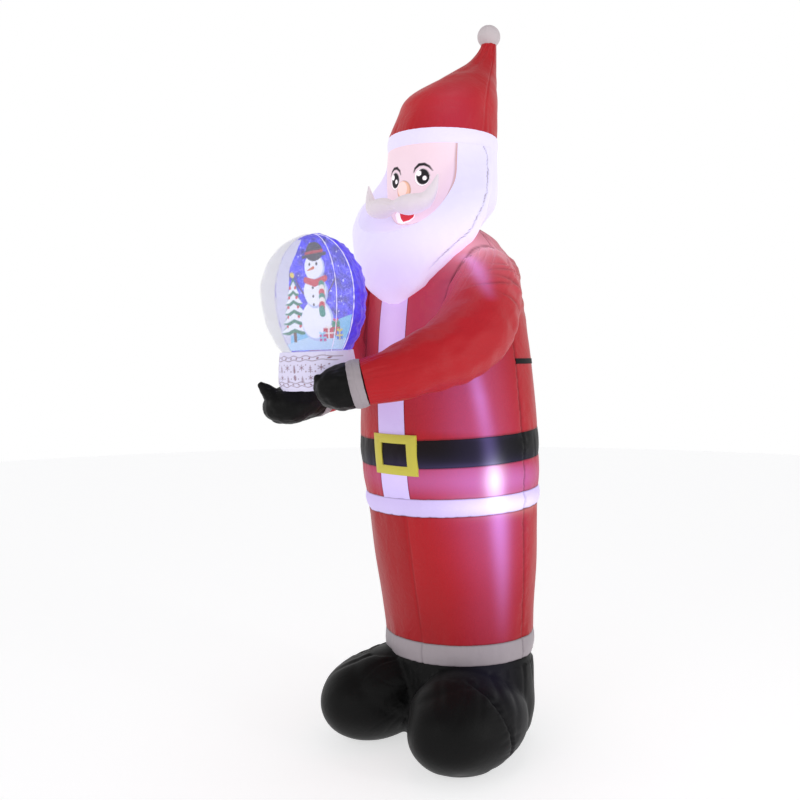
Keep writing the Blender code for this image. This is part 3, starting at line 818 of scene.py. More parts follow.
def dressed(name: str, mesh: bpy.types.Mesh, finish: Finish) -> bpy.types.Object:
    """Puts a mesh in the scene with its finish and the lamps' light on it.

    Args:
        name: The piece's name.
        mesh: The mesh, in metres in the frame.
        finish: Its finish.

    Returns:
        The object.
    """
    piece = bpy.data.objects.new(name, mesh)
    bpy.context.scene.collection.objects.link(piece)
    mesh.materials.append(finish.material())
    mesh.shade_smooth()
    mesh.set_sharp_from_angle(angle=SHARP_EDGE)
    if isinstance(finish, Taffeta):
        places = points_of(mesh)
        light = finish.glow * sum(lamp.on(places) for lamp in LAMPS)
        light = light + finish.even_light * linear(finish.passes)
        layer = mesh.color_attributes.new("lamplight", "FLOAT_COLOR", "POINT")
        layer.data.foreach_set("color", np.column_stack([light, np.ones(len(light))]).ravel())
    return piece


def points_of(mesh: bpy.types.Mesh) -> np.ndarray:
    """Reads a mesh's corners.

    Args:
        mesh: The mesh.

    Returns:
        Its corner points, one row for each.
    """
    flat = np.empty(len(mesh.vertices) * 3)
    mesh.vertices.foreach_get("co", flat)
    return flat.reshape(-1, 3)


def face_outward(mesh: bpy.types.Mesh) -> None:
    """Turns every face of a closed mesh to look outward.

    Args:
        mesh: The mesh.
    """
    shape = bmesh.new()
    shape.from_mesh(mesh)
    bmesh.ops.recalc_face_normals(shape, faces=shape.faces)
    shape.to_mesh(mesh)
    shape.free()


def round_turn(columns: int) -> np.ndarray:
    """Gives the angles of a ring's points, as one row."""
    return np.linspace(0, FULL_TURN, columns, endpoint=False)[None, :]


def grid_of(x: np.ndarray, y: np.ndarray, z: np.ndarray) -> np.ndarray:
    """Joins the X, Y and Z of a grid's points. Any may be one row or one column."""
    return np.stack(np.broadcast_arrays(x, y, z), axis=-1)


def place(piece: bpy.types.Object, finish: Finish, *nodes: str) -> None:
    """Hands a finished piece to the frame: it rides on the figure and stands for its solids.

    Args:
        piece: The piece.
        finish: Its finish; not used.
        nodes: The solids that it replaces.
    """
    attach(piece, ROOT)
    if nodes:
        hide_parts(*nodes)
    triangles = sum(len(face.vertices) - 2 for face in piece.data.polygons)
    LOG.info("%s: %d triangles", piece.name, triangles)


def superellipse(turn: np.ndarray, power: float) -> tuple[np.ndarray, np.ndarray]:
    """Gives a rounded box's ring.

    Args:
        turn: The angle of each point.
        power: How square the ring is, where 2 is round.

    Returns:
        How far each point lies across and forward, from -1 to 1.
    """
    across = np.sign(np.sin(turn)) * np.abs(np.sin(turn)) ** (2 / power)
    forward = np.sign(np.cos(turn)) * np.abs(np.cos(turn)) ** (2 / power)
    return across, forward


def loft(
    form: Curve, levels: np.ndarray, columns: int, swell: np.ndarray | float = 0.0
) -> np.ndarray:
    """Gives level rings of a form whose table holds half width, half depth and middle.

    Args:
        form: The form's table.
        levels: The rings' heights in metres.
        columns: The points in a ring, from the front to his left.
        swell: How far each ring stands out, in metres.

    Returns:
        Points as rows by columns by three.
    """
    sizes = form.at(levels)
    turn = round_turn(columns)
    out = np.broadcast_to(np.asarray(swell, float), levels.shape)[:, None]
    x = (sizes[:, :1] + out) * np.sin(turn)
    y = sizes[:, 2:] - (sizes[:, 1:2] + out) * np.cos(turn)
    return grid_of(x, y, levels[:, None])


def tube(middle: np.ndarray, radii: np.ndarray, columns: int) -> np.ndarray:
    """Gives rings round a path, each ring starting at its upper side.

    Args:
        middle: The path's points.
        radii: The radius at each.
        columns: The points in a ring.

    Returns:
        Points as rows by columns by three.
    """
    ahead = np.gradient(middle, axis=0)
    ahead /= np.linalg.norm(ahead, axis=1, keepdims=True)
    upper = UPWARD - ahead * (ahead @ UPWARD)[:, None]
    upper /= np.linalg.norm(upper, axis=1, keepdims=True)
    side = np.cross(ahead, upper)
    turn = round_turn(columns)[..., None]
    ring = np.cos(turn) * upper[:, None] + np.sin(turn) * side[:, None]
    return middle[:, None] + np.asarray(radii)[:, None, None] * ring


def merged(name: str, parts: list[Skin], voxel: float, smooth: int) -> bpy.types.Mesh:
    """Melts closed skins into one skin of even small faces.

    Args:
        name: The mesh's name.
        parts: The skins, each overlapping another.
        voxel: The side of a face, in metres.
        smooth: How many times the joins are eased.

    Returns:
        The mesh.
    """
    corners, faces, first = [], [], 0
    for part in parts:
        own_corners, own_faces = part.faces()
        corners.append(own_corners)
        faces += [tuple(number + first for number in face) for face in own_faces]
        first += len(own_corners)
    rough = bpy.data.meshes.new(name)
    rough.from_pydata(np.vstack(corners).tolist(), [], faces)
    holder = bpy.data.objects.new(name, rough)
    bpy.context.scene.collection.objects.link(holder)
    remesh = holder.modifiers.new("one skin", "REMESH")
    remesh.mode = "VOXEL"
    remesh.voxel_size = voxel
    ease = holder.modifiers.new("eased joins", "SMOOTH")
    ease.iterations = smooth
    ease.factor = 0.5
    graph = bpy.context.evaluated_depsgraph_get()
    mesh = bpy.data.meshes.new_from_object(holder.evaluated_get(graph))
    bpy.data.objects.remove(holder)
    return mesh


def push_mesh(mesh: bpy.types.Mesh, amount: np.ndarray) -> None:
    """Moves the corners of a mesh outward.

    Args:
        mesh: The mesh.
        amount: How far each corner moves, in metres.
    """
    normals = np.empty(len(mesh.vertices) * 3)
    mesh.vertices.foreach_get("normal", normals)
    places = points_of(mesh) + normals.reshape(-1, 3) * amount[:, None]
    mesh.vertices.foreach_set("co", places.ravel())
    mesh.update()


@dataclass(frozen=True)
class Seam:
    """A seam round the body: its height, and how it rises to his left and to the back."""

    level: float
    rise_left: float
    rise_back: float


@dataclass(frozen=True)
class Band:
    """A band of the body between two seams."""

    node: str
    low: Seam
    high: Seam
    finish: Taffeta
    swell: float
    rows: int


@dataclass(frozen=True)
class Coat:
    """The coat with its trims and belt, the white stripe, the buckle and the back strap."""

    form: Curve = Curve(
        (
            (0.420, 0.404, 0.316, -0.006),
            (0.523, 0.407, 0.318, -0.008),
            (0.664, 0.414, 0.326, -0.020),
            (0.865, 0.431, 0.351, -0.035),
            (1.065, 0.443, 0.372, -0.049),
            (1.266, 0.460, 0.392, -0.066),
            (1.440, 0.467, 0.400, -0.082),
            (1.650, 0.453, 0.402, -0.092),
            (1.870, 0.430, 0.394, -0.100),
            (1.970, 0.416, 0.386, -0.102),
            (2.170, 0.388, 0.362, -0.105),
            (2.344, 0.350, 0.332, -0.108),
            (2.410, 0.295, 0.280, -0.109),
            (2.474, 0.242, 0.230, -0.110),
            (2.506, 0.190, 0.180, -0.110),
        )
    )
    hem_low: Seam = Seam(0.428, 0.05, 0.02)
    hem_high: Seam = Seam(0.526, 0.05, 0.02)
    waist_low: Seam = Seam(1.160, 0.03, 0.05)
    waist_high: Seam = Seam(1.244, 0.03, 0.05)
    belt_low: Seam = Seam(1.394, 0.03, 0.06)
    belt_high: Seam = Seam(1.524, 0.03, 0.06)
    top: Seam = Seam(2.506, 0.0, 0.0)
    columns: int = 350
    stripe_columns: int = 30
    edge_thread: float = 0.75
    stripe_width: float = 0.170
    front_seam_x: float = 0.045
    buckle_width: float = 0.262
    buckle_height: float = 0.190
    buckle_bar: float = 0.042
    buckle_side_bar: float = 0.052
    buckle_shift: float = 0.017
    buckle_lift: float = 0.011
    buckle_puff: float = 0.003
    buckle_thickness: float = 0.009
    strap_level: float = 1.865
    strap_width: float = 0.025
    strap_lift: float = 0.0065
    pucker_depth: float = 0.0028
    pucker_reach: float = 0.07
    puckers: int = 46
    seam_depth: float = 0.004
    seam_width: float = 0.006
    side_radius: float = 0.44
    dent_depth: float = 0.0016
    chest_dent_depth: float = 0.006
    thread_radius: float = 0.42
    side_thread: float = 0.0045
    front_thread: float = 0.004
    edge_seam_and_shade_width: float = 0.003
    armhole_thread: float = 0.0055
    yoke_thread: float = 0.005
    yoke_turn: float = 1.55
    yoke_level: float = 2.50
    yoke_slope: float = 0.85
    yoke_foot: float = 2.2
    shade_top: float = 0.95
    shade_height: float = 0.4
    shade: float = 0.40
    flap_shade: float = 0.34
    flap_edge: float = 0.012

    def bands(self) -> tuple[Band, ...]:
        """Lists the bands.

        Returns:
            The bands from the hem up.
        """
        return (
            Band("hem_trim", self.hem_low, self.hem_high, UNLIT_WHITE, 0.006, 14),
            Band("coat_skirt", self.hem_high, self.waist_low, RED, 0.004, 76),
            Band("waist_trim", self.waist_low, self.waist_high, VIOLET_WHITE, 0.010, 14),
            Band("coat_waist", self.waist_high, self.belt_low, RED, 0.004, 20),
            Band("belt", self.belt_low, self.belt_high, BLACK, 0.004, 20),
            Band("coat_chest", self.belt_high, self.top, RED, 0.004, 92),
        )

    def grid(self, band: Band, turns: np.ndarray | None, stripe: bool = False) -> np.ndarray:
        """Gives a band's points.

        Args:
            band: The band.
            turns: The angles round it, or None where the stripe splits the band.
            stripe: Whether the stripe is taken, and not the rest.

        Returns:
            Points as rows by columns by three.
        """
        share = np.linspace(0, 1, band.rows + 1)[:, None]
        low, high = band.low, band.high
        level = low.level + (high.level - low.level) * share
        left = low.rise_left + (high.rise_left - low.rise_left) * share
        back = low.rise_back + (high.rise_back - low.rise_back) * share
        sizes = self.form.at(level[:, 0])
        out = band.swell * np.sin(math.pi * share)
        half_width, half_depth = sizes[:, :1] + out, sizes[:, 1:2] + out
        if turns is None:
            edge = np.arcsin(np.minimum(self.stripe_width / 2 / half_width, 0.9))
            if stripe:
                turns = edge * np.linspace(-1, 1, self.stripe_columns)[None, :]
            else:
                spread = np.linspace(0, 1, self.columns)[None, :]
                turns = edge + (FULL_TURN - 2 * edge) * spread
        x = half_width * np.sin(turns)
        y = sizes[:, 2:] - half_depth * np.cos(turns)
        return grid_of(x, y, level + left * x + back * y)

    def turn_of(self, points: np.ndarray) -> np.ndarray:
        """Gives each point's angle round the body, from the front to his left."""
        middle = self.form.over(points[..., 2])[..., 2]
        return np.arctan2(points[..., 0], middle - points[..., 1])

    def tension(self, skin: Skin, band: Band) -> np.ndarray:
        """Shapes the puckers at both seams of a band and its faint dents.

        Args:
            skin: The band's skin.
            band: The band.

        Returns:
            Heights in metres.
        """
        points = skin.points
        turn = self.turn_of(points)
        share = np.linspace(0, 1, len(points))[:, None]
        height = band.high.level - band.low.level
        seed, folds, reach = len(band.node), self.puckers, self.pucker_reach
        depth = self.pucker_depth * gathers(turn, share * height, seed, folds, reach)
        depth += self.pucker_depth * gathers(turn, (1 - share) * height, seed + 9, folds, reach)
        depth += self.dent_depth * Waves(7, 0.16, 2.5).at(points)
        for side_turn in SEAM_TURNS:
            along_seam = wrapped(turn - side_turn) * self.side_radius
            depth -= self.seam_depth * bump(along_seam, self.seam_width)
            depth += 0.002 * bump(along_seam, 0.03) * Waves(11, 0.05, 0.4).at(points)
        if band.node in ("coat_skirt", "hem_trim"):
            gap = points[..., 0] - self.front_seam_x
            front = np.cos(turn) > 0
            depth -= self.seam_depth * bump(gap, self.seam_width) * front
        if band.node == "coat_chest":
            fade = bump(points[..., 2] - 2.25, 0.16)
            beside = np.abs(points[..., 0]) > 0.16
            depth += self.chest_dent_depth * Waves(5, 0.10, 0.7).at(points) * (fade * beside)
        return depth

    def stitches_and_shade(self, points: np.ndarray, band: Band) -> np.ndarray:
        """Finds a band's seams, and shade painted low on its skirt, by its flap and at its ends.

        Args:
            points: The band's points.
            band: The band.

        Returns:
            How much seam line or painted shade each point shows, from 0 to about 1.
        """
        turn = np.abs(self.turn_of(points))
        seam = bump((turn - math.pi / 2) * self.thread_radius, self.side_thread)
        if band.node in ("coat_skirt", "hem_trim"):
            front = bump(points[..., 0] - self.front_seam_x, self.front_thread)
            seam = np.maximum(seam, 0.6 * front * (np.cos(turn) > 0))
        # Painted shade: the skirt darker towards the hem, and darker left of the front seam.
        if band.node == "coat_skirt":
            low = np.clip((self.shade_top - points[..., 2]) / self.shade_height, 0, 1)
            seam = np.maximum(seam, self.shade * low)
            beyond = np.clip((self.front_seam_x - points[..., 0]) / self.flap_edge, 0, 1)
            seam = np.maximum(seam, self.flap_shade * beyond * (np.cos(turn) > 0))
        if band.node == "coat_chest":
            yoke = (turn - self.yoke_turn) * self.thread_radius
            yoke = yoke - (self.yoke_level - points[..., 2]) * self.yoke_slope
            above = points[..., 2] > self.yoke_foot
            seam = np.maximum(seam, bump(yoke, self.yoke_thread) * above)
            for arm in (LEFT_ARM, RIGHT_ARM):
                away = arm.off_sleeve(points)
                seam = np.maximum(seam, 1.1 * bump(away, self.armhole_thread))
        # A dark line along both ends: the seam there, and painted shade where the next band meets
        # it.
        share = np.linspace(0, 1, len(points))[:, None]
        ends = np.minimum(share, 1 - share) * (band.high.level - band.low.level)
        return np.maximum(0.55 * seam, 0.6 * bump(ends, self.edge_seam_and_shade_width))

    def build(self) -> None:
        """Builds every band, the stripe, the buckle and the strap."""
        for band in self.bands():
            split = band.node in ("coat_waist", "coat_chest")
            turns = None if split else round_turn(self.columns)
            skin = Skin(self.grid(band, turns), closed=not split)
            skin.stitch = self.stitches_and_shade(skin.points, band)
            if split:
                skin.stitch[:, [0, -1]] = self.edge_thread
            skin.push(self.tension(skin, band))
            place(skin.build(f"{band.node}_cloth", band.finish), band.finish, band.node)
            if split:
                node = {"coat_waist": "placket_lower", "coat_chest": "placket_upper"}[band.node]
                stripe = Skin(self.grid(band, None, stripe=True), closed=False)
                stripe.push(self.tension(stripe, band))
                place(stripe.build(f"{node}_cloth", VIOLET_WHITE), VIOLET_WHITE, node)
        self.build_buckle()
        self.build_strap()

    def front_point(self, x: np.ndarray, level: np.ndarray, out: float) -> np.ndarray:
        """Gives points on the coat's front.

        Args:
            x: How far to his left each lies.
            level: Its height.
            out: How far it stands out of the coat.

        Returns:
            The points.
        """
        sizes = self.form.over(level)
        share = np.clip(x / (sizes[..., 0] + out), -0.99, 0.99)
        y = sizes[..., 2] - (sizes[..., 1] + out) * np.sqrt(1 - share**2)
        return grid_of(x, y, level)

    def build_buckle(self) -> None:
        """Builds the flat yellow frame sewn over the belt."""
        middle = (self.belt_low.level + self.belt_high.level) / 2
        front = self.front_point(np.zeros(1), np.array([middle]), 0.0)[0, 1]
        middle += self.belt_low.rise_back * front
        half_x, half_z = self.buckle_width / 2, self.buckle_height / 2
        corners = ((-1, -1), (1, -1), (1, 1), (-1, 1))
        along = np.linspace(0, 1, 24, endpoint=False)
        points = []
        steps = 9
        for step, share in enumerate(np.linspace(0, 1, steps)):
            wide = half_x - self.buckle_side_bar * share
            tall = half_z - self.buckle_bar * share
            puff = self.buckle_lift + self.buckle_puff * math.sin(math.pi * step / (steps - 1))
            ring = []
            for (x0, z0), (x1, z1) in zip(corners, corners[1:] + corners[:1]):
                x = (x0 + (x1 - x0) * along) * wide + self.buckle_shift
                z = (z0 + (z1 - z0) * along) * tall + middle
                ring.append(self.front_point(x, z, puff))
            points.append(np.vstack(ring))
        outer = np.array(points)
        inner = outer[::-1].copy()
        inner[..., 1] += self.buckle_thickness
        grid = np.concatenate([outer, inner])
        rows, columns, _ = grid.shape
        numbers = np.arange(rows * columns).reshape(rows, columns)
        after, above = np.roll(numbers, -1, axis=1), np.roll(numbers, -1, axis=0)
        both = np.roll(after, -1, axis=0)
        quads = np.stack([numbers, after, both, above], -1).reshape(-1, 4)
        mesh = bpy.data.meshes.new("buckle_cloth")
        mesh.from_pydata(grid.reshape(-1, 3).tolist(), [], quads.tolist())
        face_outward(mesh)
        place(dressed("buckle_cloth", mesh, YELLOW), YELLOW, "buckle")

    def build_strap(self) -> None:
        """Builds the webbing strap across the back, from side seam to side seam."""
        levels = np.linspace(-0.5, 0.5, 5) * self.strap_width + self.strap_level
        turn = np.linspace(math.radians(90), math.radians(270), 160)[None, :]
        sizes = self.form.at(levels)
        x = (sizes[:, :1] + self.strap_lift) * np.sin(turn)
        y = sizes[:, 2:] - (sizes[:, 1:2] + self.strap_lift) * np.cos(turn)
        skin = Skin(grid_of(x, y, levels[:, None]), closed=False)
        place(skin.build("tether_strap_webbing", WEBBING), WEBBING, "tether_strap")


@dataclass(frozen=True)
class Head:
    """The white head and full beard as one skin, the printed face and the moustache."""

    skull: Curve = Curve(
        (
            (2.400, 0.120, 0.150, -0.190),
            (2.450, 0.165, 0.190, -0.180),
            (2.520, 0.204, 0.215, -0.165),
            (2.567, 0.234, 0.236, -0.150),
            (2.620, 0.262, 0.262, -0.135),
            (2.700, 0.272, 0.272, -0.130),
            (2.800, 0.273, 0.273, -0.130),
            (2.885, 0.269, 0.269, -0.129),
        )
    )
    beard: Curve = Curve(
        (
            (2.132, 0.040, 0.025, -0.460),
            (2.160, 0.095, 0.044, -0.462),
            (2.190, 0.148, 0.064, -0.460),
            (2.240, 0.198, 0.090, -0.448),
            (2.365, 0.305, 0.155, -0.390),
            (2.437, 0.363, 0.183, -0.345),
            (2.520, 0.390, 0.196, -0.320),
            (2.620, 0.390, 0.188, -0.275),
            (2.700, 0.360, 0.180, -0.225),
            (2.760, 0.325, 0.170, -0.195),
            (2.820, 0.288, 0.180, -0.165),
            (2.885, 0.266, 0.200, -0.150),
        )
    )
    seam: tuple[tuple[float, float], ...] = (
        (2.13, 60.0),
        (2.27, 72.0),
        (2.33, 74.5),
        (2.41, 82.0),
        (2.47, 86.5),
        (2.57, 92.0),
        (2.66, 92.5),
        (2.84, 100.0),
        (2.885, 90.0),
    )
    face_half_width: float = 0.228
    face_level: float = 2.78
    face_drop: float = 0.268
    face_power: float = 2.2
    flare_side: float = 0.95
    flare_down: float = 0.35
    top: float = 2.885
    beard_joins: float = 2.36
    join_height: float = 0.10
    skull_foot: float = 2.4
    blend_power: int = 14
    moustache_span: float = 39.0
    moustache_reach: float = 0.335
    moustache_spread: float = 0.030
    moustache_level: float = 2.590
    moustache_rise: float = 0.128
    moustache_curl: float = 7.5
    moustache_radius: float = 0.047
    moustache_dip: float = 0.022
    moustache_tip: float = 0.003
    rows: int = 112
    columns: int = 290
    dent_depth: float = 0.0035
    seam_depth: float = 0.005
    seam_thread: float = 0.0035
    top_gathers: float = 0.003
    skin_line: float = 0.0055

    def reach(self, sizes: np.ndarray, centre: np.ndarray, turn: np.ndarray) -> np.ndarray:
        """Measures how far an ellipse reaches from a point inside it.

        Args:
            sizes: Its half width, half depth and middle at each level.
            centre: The point's Y at each level.
            turn: The directions.

        Returns:
            The reach at each level, in each direction.
        """
        half_width, half_depth, middle = sizes[:, :1], sizes[:, 1:2], sizes[:, 2:]
        aside = centre - middle
        a = (np.sin(turn) / half_width) ** 2 + (np.cos(turn) / half_depth) ** 2
        b = np.cos(turn) * aside / half_depth**2
        c = (aside / half_depth) ** 2 - 1
        return (b + np.sqrt(np.maximum(b**2 - a * c, 0))) / a

    def build_hair(self) -> None:
        """Builds the head with its beard, hollowed in front for the face."""
        levels = np.linspace(self.beard.steps[0], self.beard.steps[-1], self.rows)
        turn = round_turn(self.columns)
        beard = self.beard.at(levels)
        skull = self.skull.at(np.maximum(levels, self.skull.steps[0]))
        joined = np.clip((levels - self.beard_joins) / self.join_height, 0, 1)[:, None]
        centre = beard[:, 2:] * (1 - joined) + (beard[:, 2:] + skull[:, 2:]) / 2 * joined
        beard_reach = self.reach(beard, centre, turn)
        inside = np.abs(centre - skull[:, 2:]) < skull[:, 1:2] * 0.98
        inside = inside & (levels[:, None] > self.skull_foot)
        skull_reach = np.where(inside, self.reach(skull, centre, turn), 0.0)
        power = self.blend_power
        reach = (beard_reach**power + np.maximum(skull_reach, 1e-3) ** power) ** (1 / power)
        x, y = reach * np.sin(turn), centre - reach * np.cos(turn)
        skin = Skin(grid_of(x, y, levels[:, None]))
        puckers = self.dent_depth * Waves(21, 0.075, 1.4).at(skin.points)
        seam = self.beard_seam(levels, beard, centre, turn, reach)
        near = bump(np.abs(wrapped(turn)) - 1.5, 0.35)
        depth = puckers * (0.3 + 0.5 * near) - self.seam_depth * seam
        depth += self.top_gathers * gathers(turn, (self.top - levels)[:, None], 31, 40, 0.07)
        skin.push(depth)
        skin.stitch = seam
        piece = skin.build("head_and_beard_cloth", WHITE)
        cutter = self.face_cutter()
        cut = piece.modifiers.new("face opening", "BOOLEAN")
        cut.operation = "DIFFERENCE"
        cut.solver = "EXACT"
        cut.object = cutter
        graph = bpy.context.evaluated_depsgraph_get()
        mesh = bpy.data.meshes.new_from_object(piece.evaluated_get(graph))
        bpy.data.objects.remove(piece)
        bpy.data.objects.remove(cutter)
        mesh.attributes.remove(mesh.attributes["lamplight"])
        mesh.materials.clear()
        place(dressed("head_and_beard_cloth", mesh, WHITE), WHITE, "head_and_beard")

    def beard_seam(
        self,
        levels: np.ndarray,
        beard: np.ndarray,
        centre: np.ndarray,
        turn: np.ndarray,
        reach: np.ndarray,
    ) -> np.ndarray:
        """Finds the seam behind the beard.

        Args:
            levels: The rings' heights.
            beard: The beard's half width, half depth and middle at each.
            centre: The rings' middles.
            turn: The angles round them.
            reach: The distance of each point from its ring's middle.

        Returns:
            How much of each point lies on the seam, from 0 to 1.
        """
        table = np.array(self.seam)
        sewn = np.radians(np.interp(levels, table[:, 0], table[:, 1]))[:, None]
        x = beard[:, :1] * np.sin(sewn)
        y = beard[:, 2:] - beard[:, 1:2] * np.cos(sewn)
        place = np.arctan2(x, centre - y)
        away = (np.abs(wrapped(turn)) - place) * reach
        away = away + 0.002 * np.sin(levels[:, None] * 300)
        fade = np.clip((levels[:, None] - 2.27) / 0.08, 0, 1)
        return 0.8 * bump(away, self.seam_thread) * fade

    def face_half(self, level: np.ndarray) -> np.ndarray:
        """Gives the face panel's half width at each height."""
        below = np.clip((self.face_level - level) / self.face_drop, 0, 1)
        return self.face_half_width * (1 - below**self.face_power) ** (1 / self.face_power)

    def face_cutter(self) -> bpy.types.Object:
        """Makes the block that opens the beard before the face, flared so that the face shows.

        Returns:
            The block.
        """
        turn = np.linspace(0, math.pi, 60)
        across = np.sign(np.cos(turn)) * np.abs(np.cos(turn)) ** (2 / self.face_power)
        down = np.sin(turn) ** (2 / self.face_power)
        edge, top = self.face_half_width, self.top + 0.065
        x = np.concatenate([[edge], edge * across, [-edge]])
        z = np.concatenate([[top], self.face_level - self.face_drop * down, [top]])
        sizes = self.skull.at(np.clip(z, self.skull.steps[0], self.skull.steps[-1]))
        y = sizes[:, 2] - sizes[:, 1] * np.sqrt(1 - np.clip(x / sizes[:, 0], -0.95, 0.95) ** 2)
        flare_x = self.flare_side * x / edge
        flare_z = -self.flare_down * np.clip((self.face_level - z) / self.face_drop, 0, 1)
        rings = []
        for reach in (0.6, -0.10):
            rings.append(grid_of(x + reach * flare_x, y - reach, z + reach * flare_z))
        cutter = Skin(np.array(rings)).build("face_opening", SKIN)
        face_outward(cutter.data)
        return cutter

    def build_face(self) -> None:
        """Builds the face panel, with its features printed as colour alone."""
        tuck, out = 0.012, 0.0005
        levels = np.linspace(self.face_level - self.face_drop - tuck, self.top, 130)
        share = np.linspace(-1, 1, 140)[None, :]
        x = (self.face_half(levels)[:, None] + 1.25 * tuck) * share
        sizes = self.skull.at(levels)
        ratio = np.clip(x / (sizes[:, :1] + out), -0.98, 0.98)
        y = sizes[:, 2:] - (sizes[:, 1:2] + out) * np.sqrt(1 - ratio**2)
        z = np.broadcast_to(levels[:, None], x.shape)
        skin = Skin(grid_of(x, y, z), closed=False)
        skin.ink = self.features(x, z).ink
        piece = skin.build("face_cloth", SKIN)
        place(piece, SKIN, "face")

    def features(self, x: np.ndarray, z: np.ndarray) -> Print:
        """Prints the eyes, brows, nose and mouth of a plain folk face.

        Args:
            x: How far to his left each point lies.
            z: Its height.

        Returns:
            The print.
        """
        face = Print(x, z)
        for side, eye_x in ((1, 0.104), (-1, -0.063)):
            face.ellipse(eye_x - 0.003, 2.725, 0.036, 0.041, "#FFFFFF")
            face.ellipse(eye_x, 2.727, 0.031, 0.037, "#17161A")
            face.ellipse(eye_x - 0.018, 2.744, 0.012, 0.012, "#FFFFFF")
            face.ellipse(eye_x + 0.009, 2.720, 0.009, 0.010, "#FFFFFF")
            arc = [(-0.044, 2.748), (-0.036, 2.768), (-0.016, 2.784), (0.008, 2.785)]
            arc += [(0.028, 2.774), (0.044, 2.753)]
            widths = [0.003, 0.010, 0.014, 0.014, 0.010, 0.003]
            face.stroke([(eye_x + side * dx, dz) for dx, dz in arc], widths, "#17161A")
        face.ellipse(-0.002, 2.672, 0.044, 0.046, "#C99F80")
        face.ellipse(-0.004, 2.674, 0.038, 0.040, "#DDB79C")
        face.ellipse(-0.012, 2.681, 0.032, 0.035, "#EDD3CB")
        rim = [(-0.092, 2.570), (-0.050, 2.590), (0.010, 2.586), (0.068, 2.580)]
        rim += [(0.045, 2.540), (0.018, 2.524), (-0.030, 2.518), (-0.078, 2.530)]
        face.shape(rim, "#FFFFFF")
        tongue = [(-0.052, 2.590), (0.010, 2.586), (0.060, 2.576), (0.040, 2.543)]
        tongue += [(0.014, 2.531), (-0.026, 2.527), (-0.042, 2.545)]
        face.shape(tongue, "#C8323C")
        edge = np.abs(x) - self.face_half(z)
        face.lay(-(edge + self.skin_line), "#D2A793", 0.75)
        return face

    def build_moustache(self) -> None:
        """Builds the puffed moustache, its tips turned up."""
        share = np.linspace(-1, 1, 130)
        turn = np.radians(self.moustache_span) * share
        reach = self.moustache_reach + self.moustache_spread * share**2
        middle = self.skull.at(np.array([self.face_level]))[0, 2]
        level = self.moustache_level + self.moustache_rise * np.abs(share) ** self.moustache_curl
        path = np.column_stack([reach * np.sin(turn), middle - reach * np.cos(turn), level])
        lobe = np.maximum(1 - np.abs(share) ** 4, 0) ** 0.8
        dip = self.moustache_dip * bump(share, 0.2)
        radii = self.moustache_radius * lobe - dip + self.moustache_tip
        columns = 80
        skin = Skin(tube(path, radii, columns))
        depth = 0.004 * gathers(round_turn(columns), np.abs(share)[:, None] * 0.35, 41, 12, 0.10)
        skin.push(depth + 0.0012 * Waves(42, 0.05).at(skin.points))
        place(skin.build("moustache_cloth", SOFT_WHITE), SOFT_WHITE, "moustache")

    def build(self) -> None:
        """Builds the head's pieces."""
        self.build_hair()
        self.build_face()
        self.build_moustache()


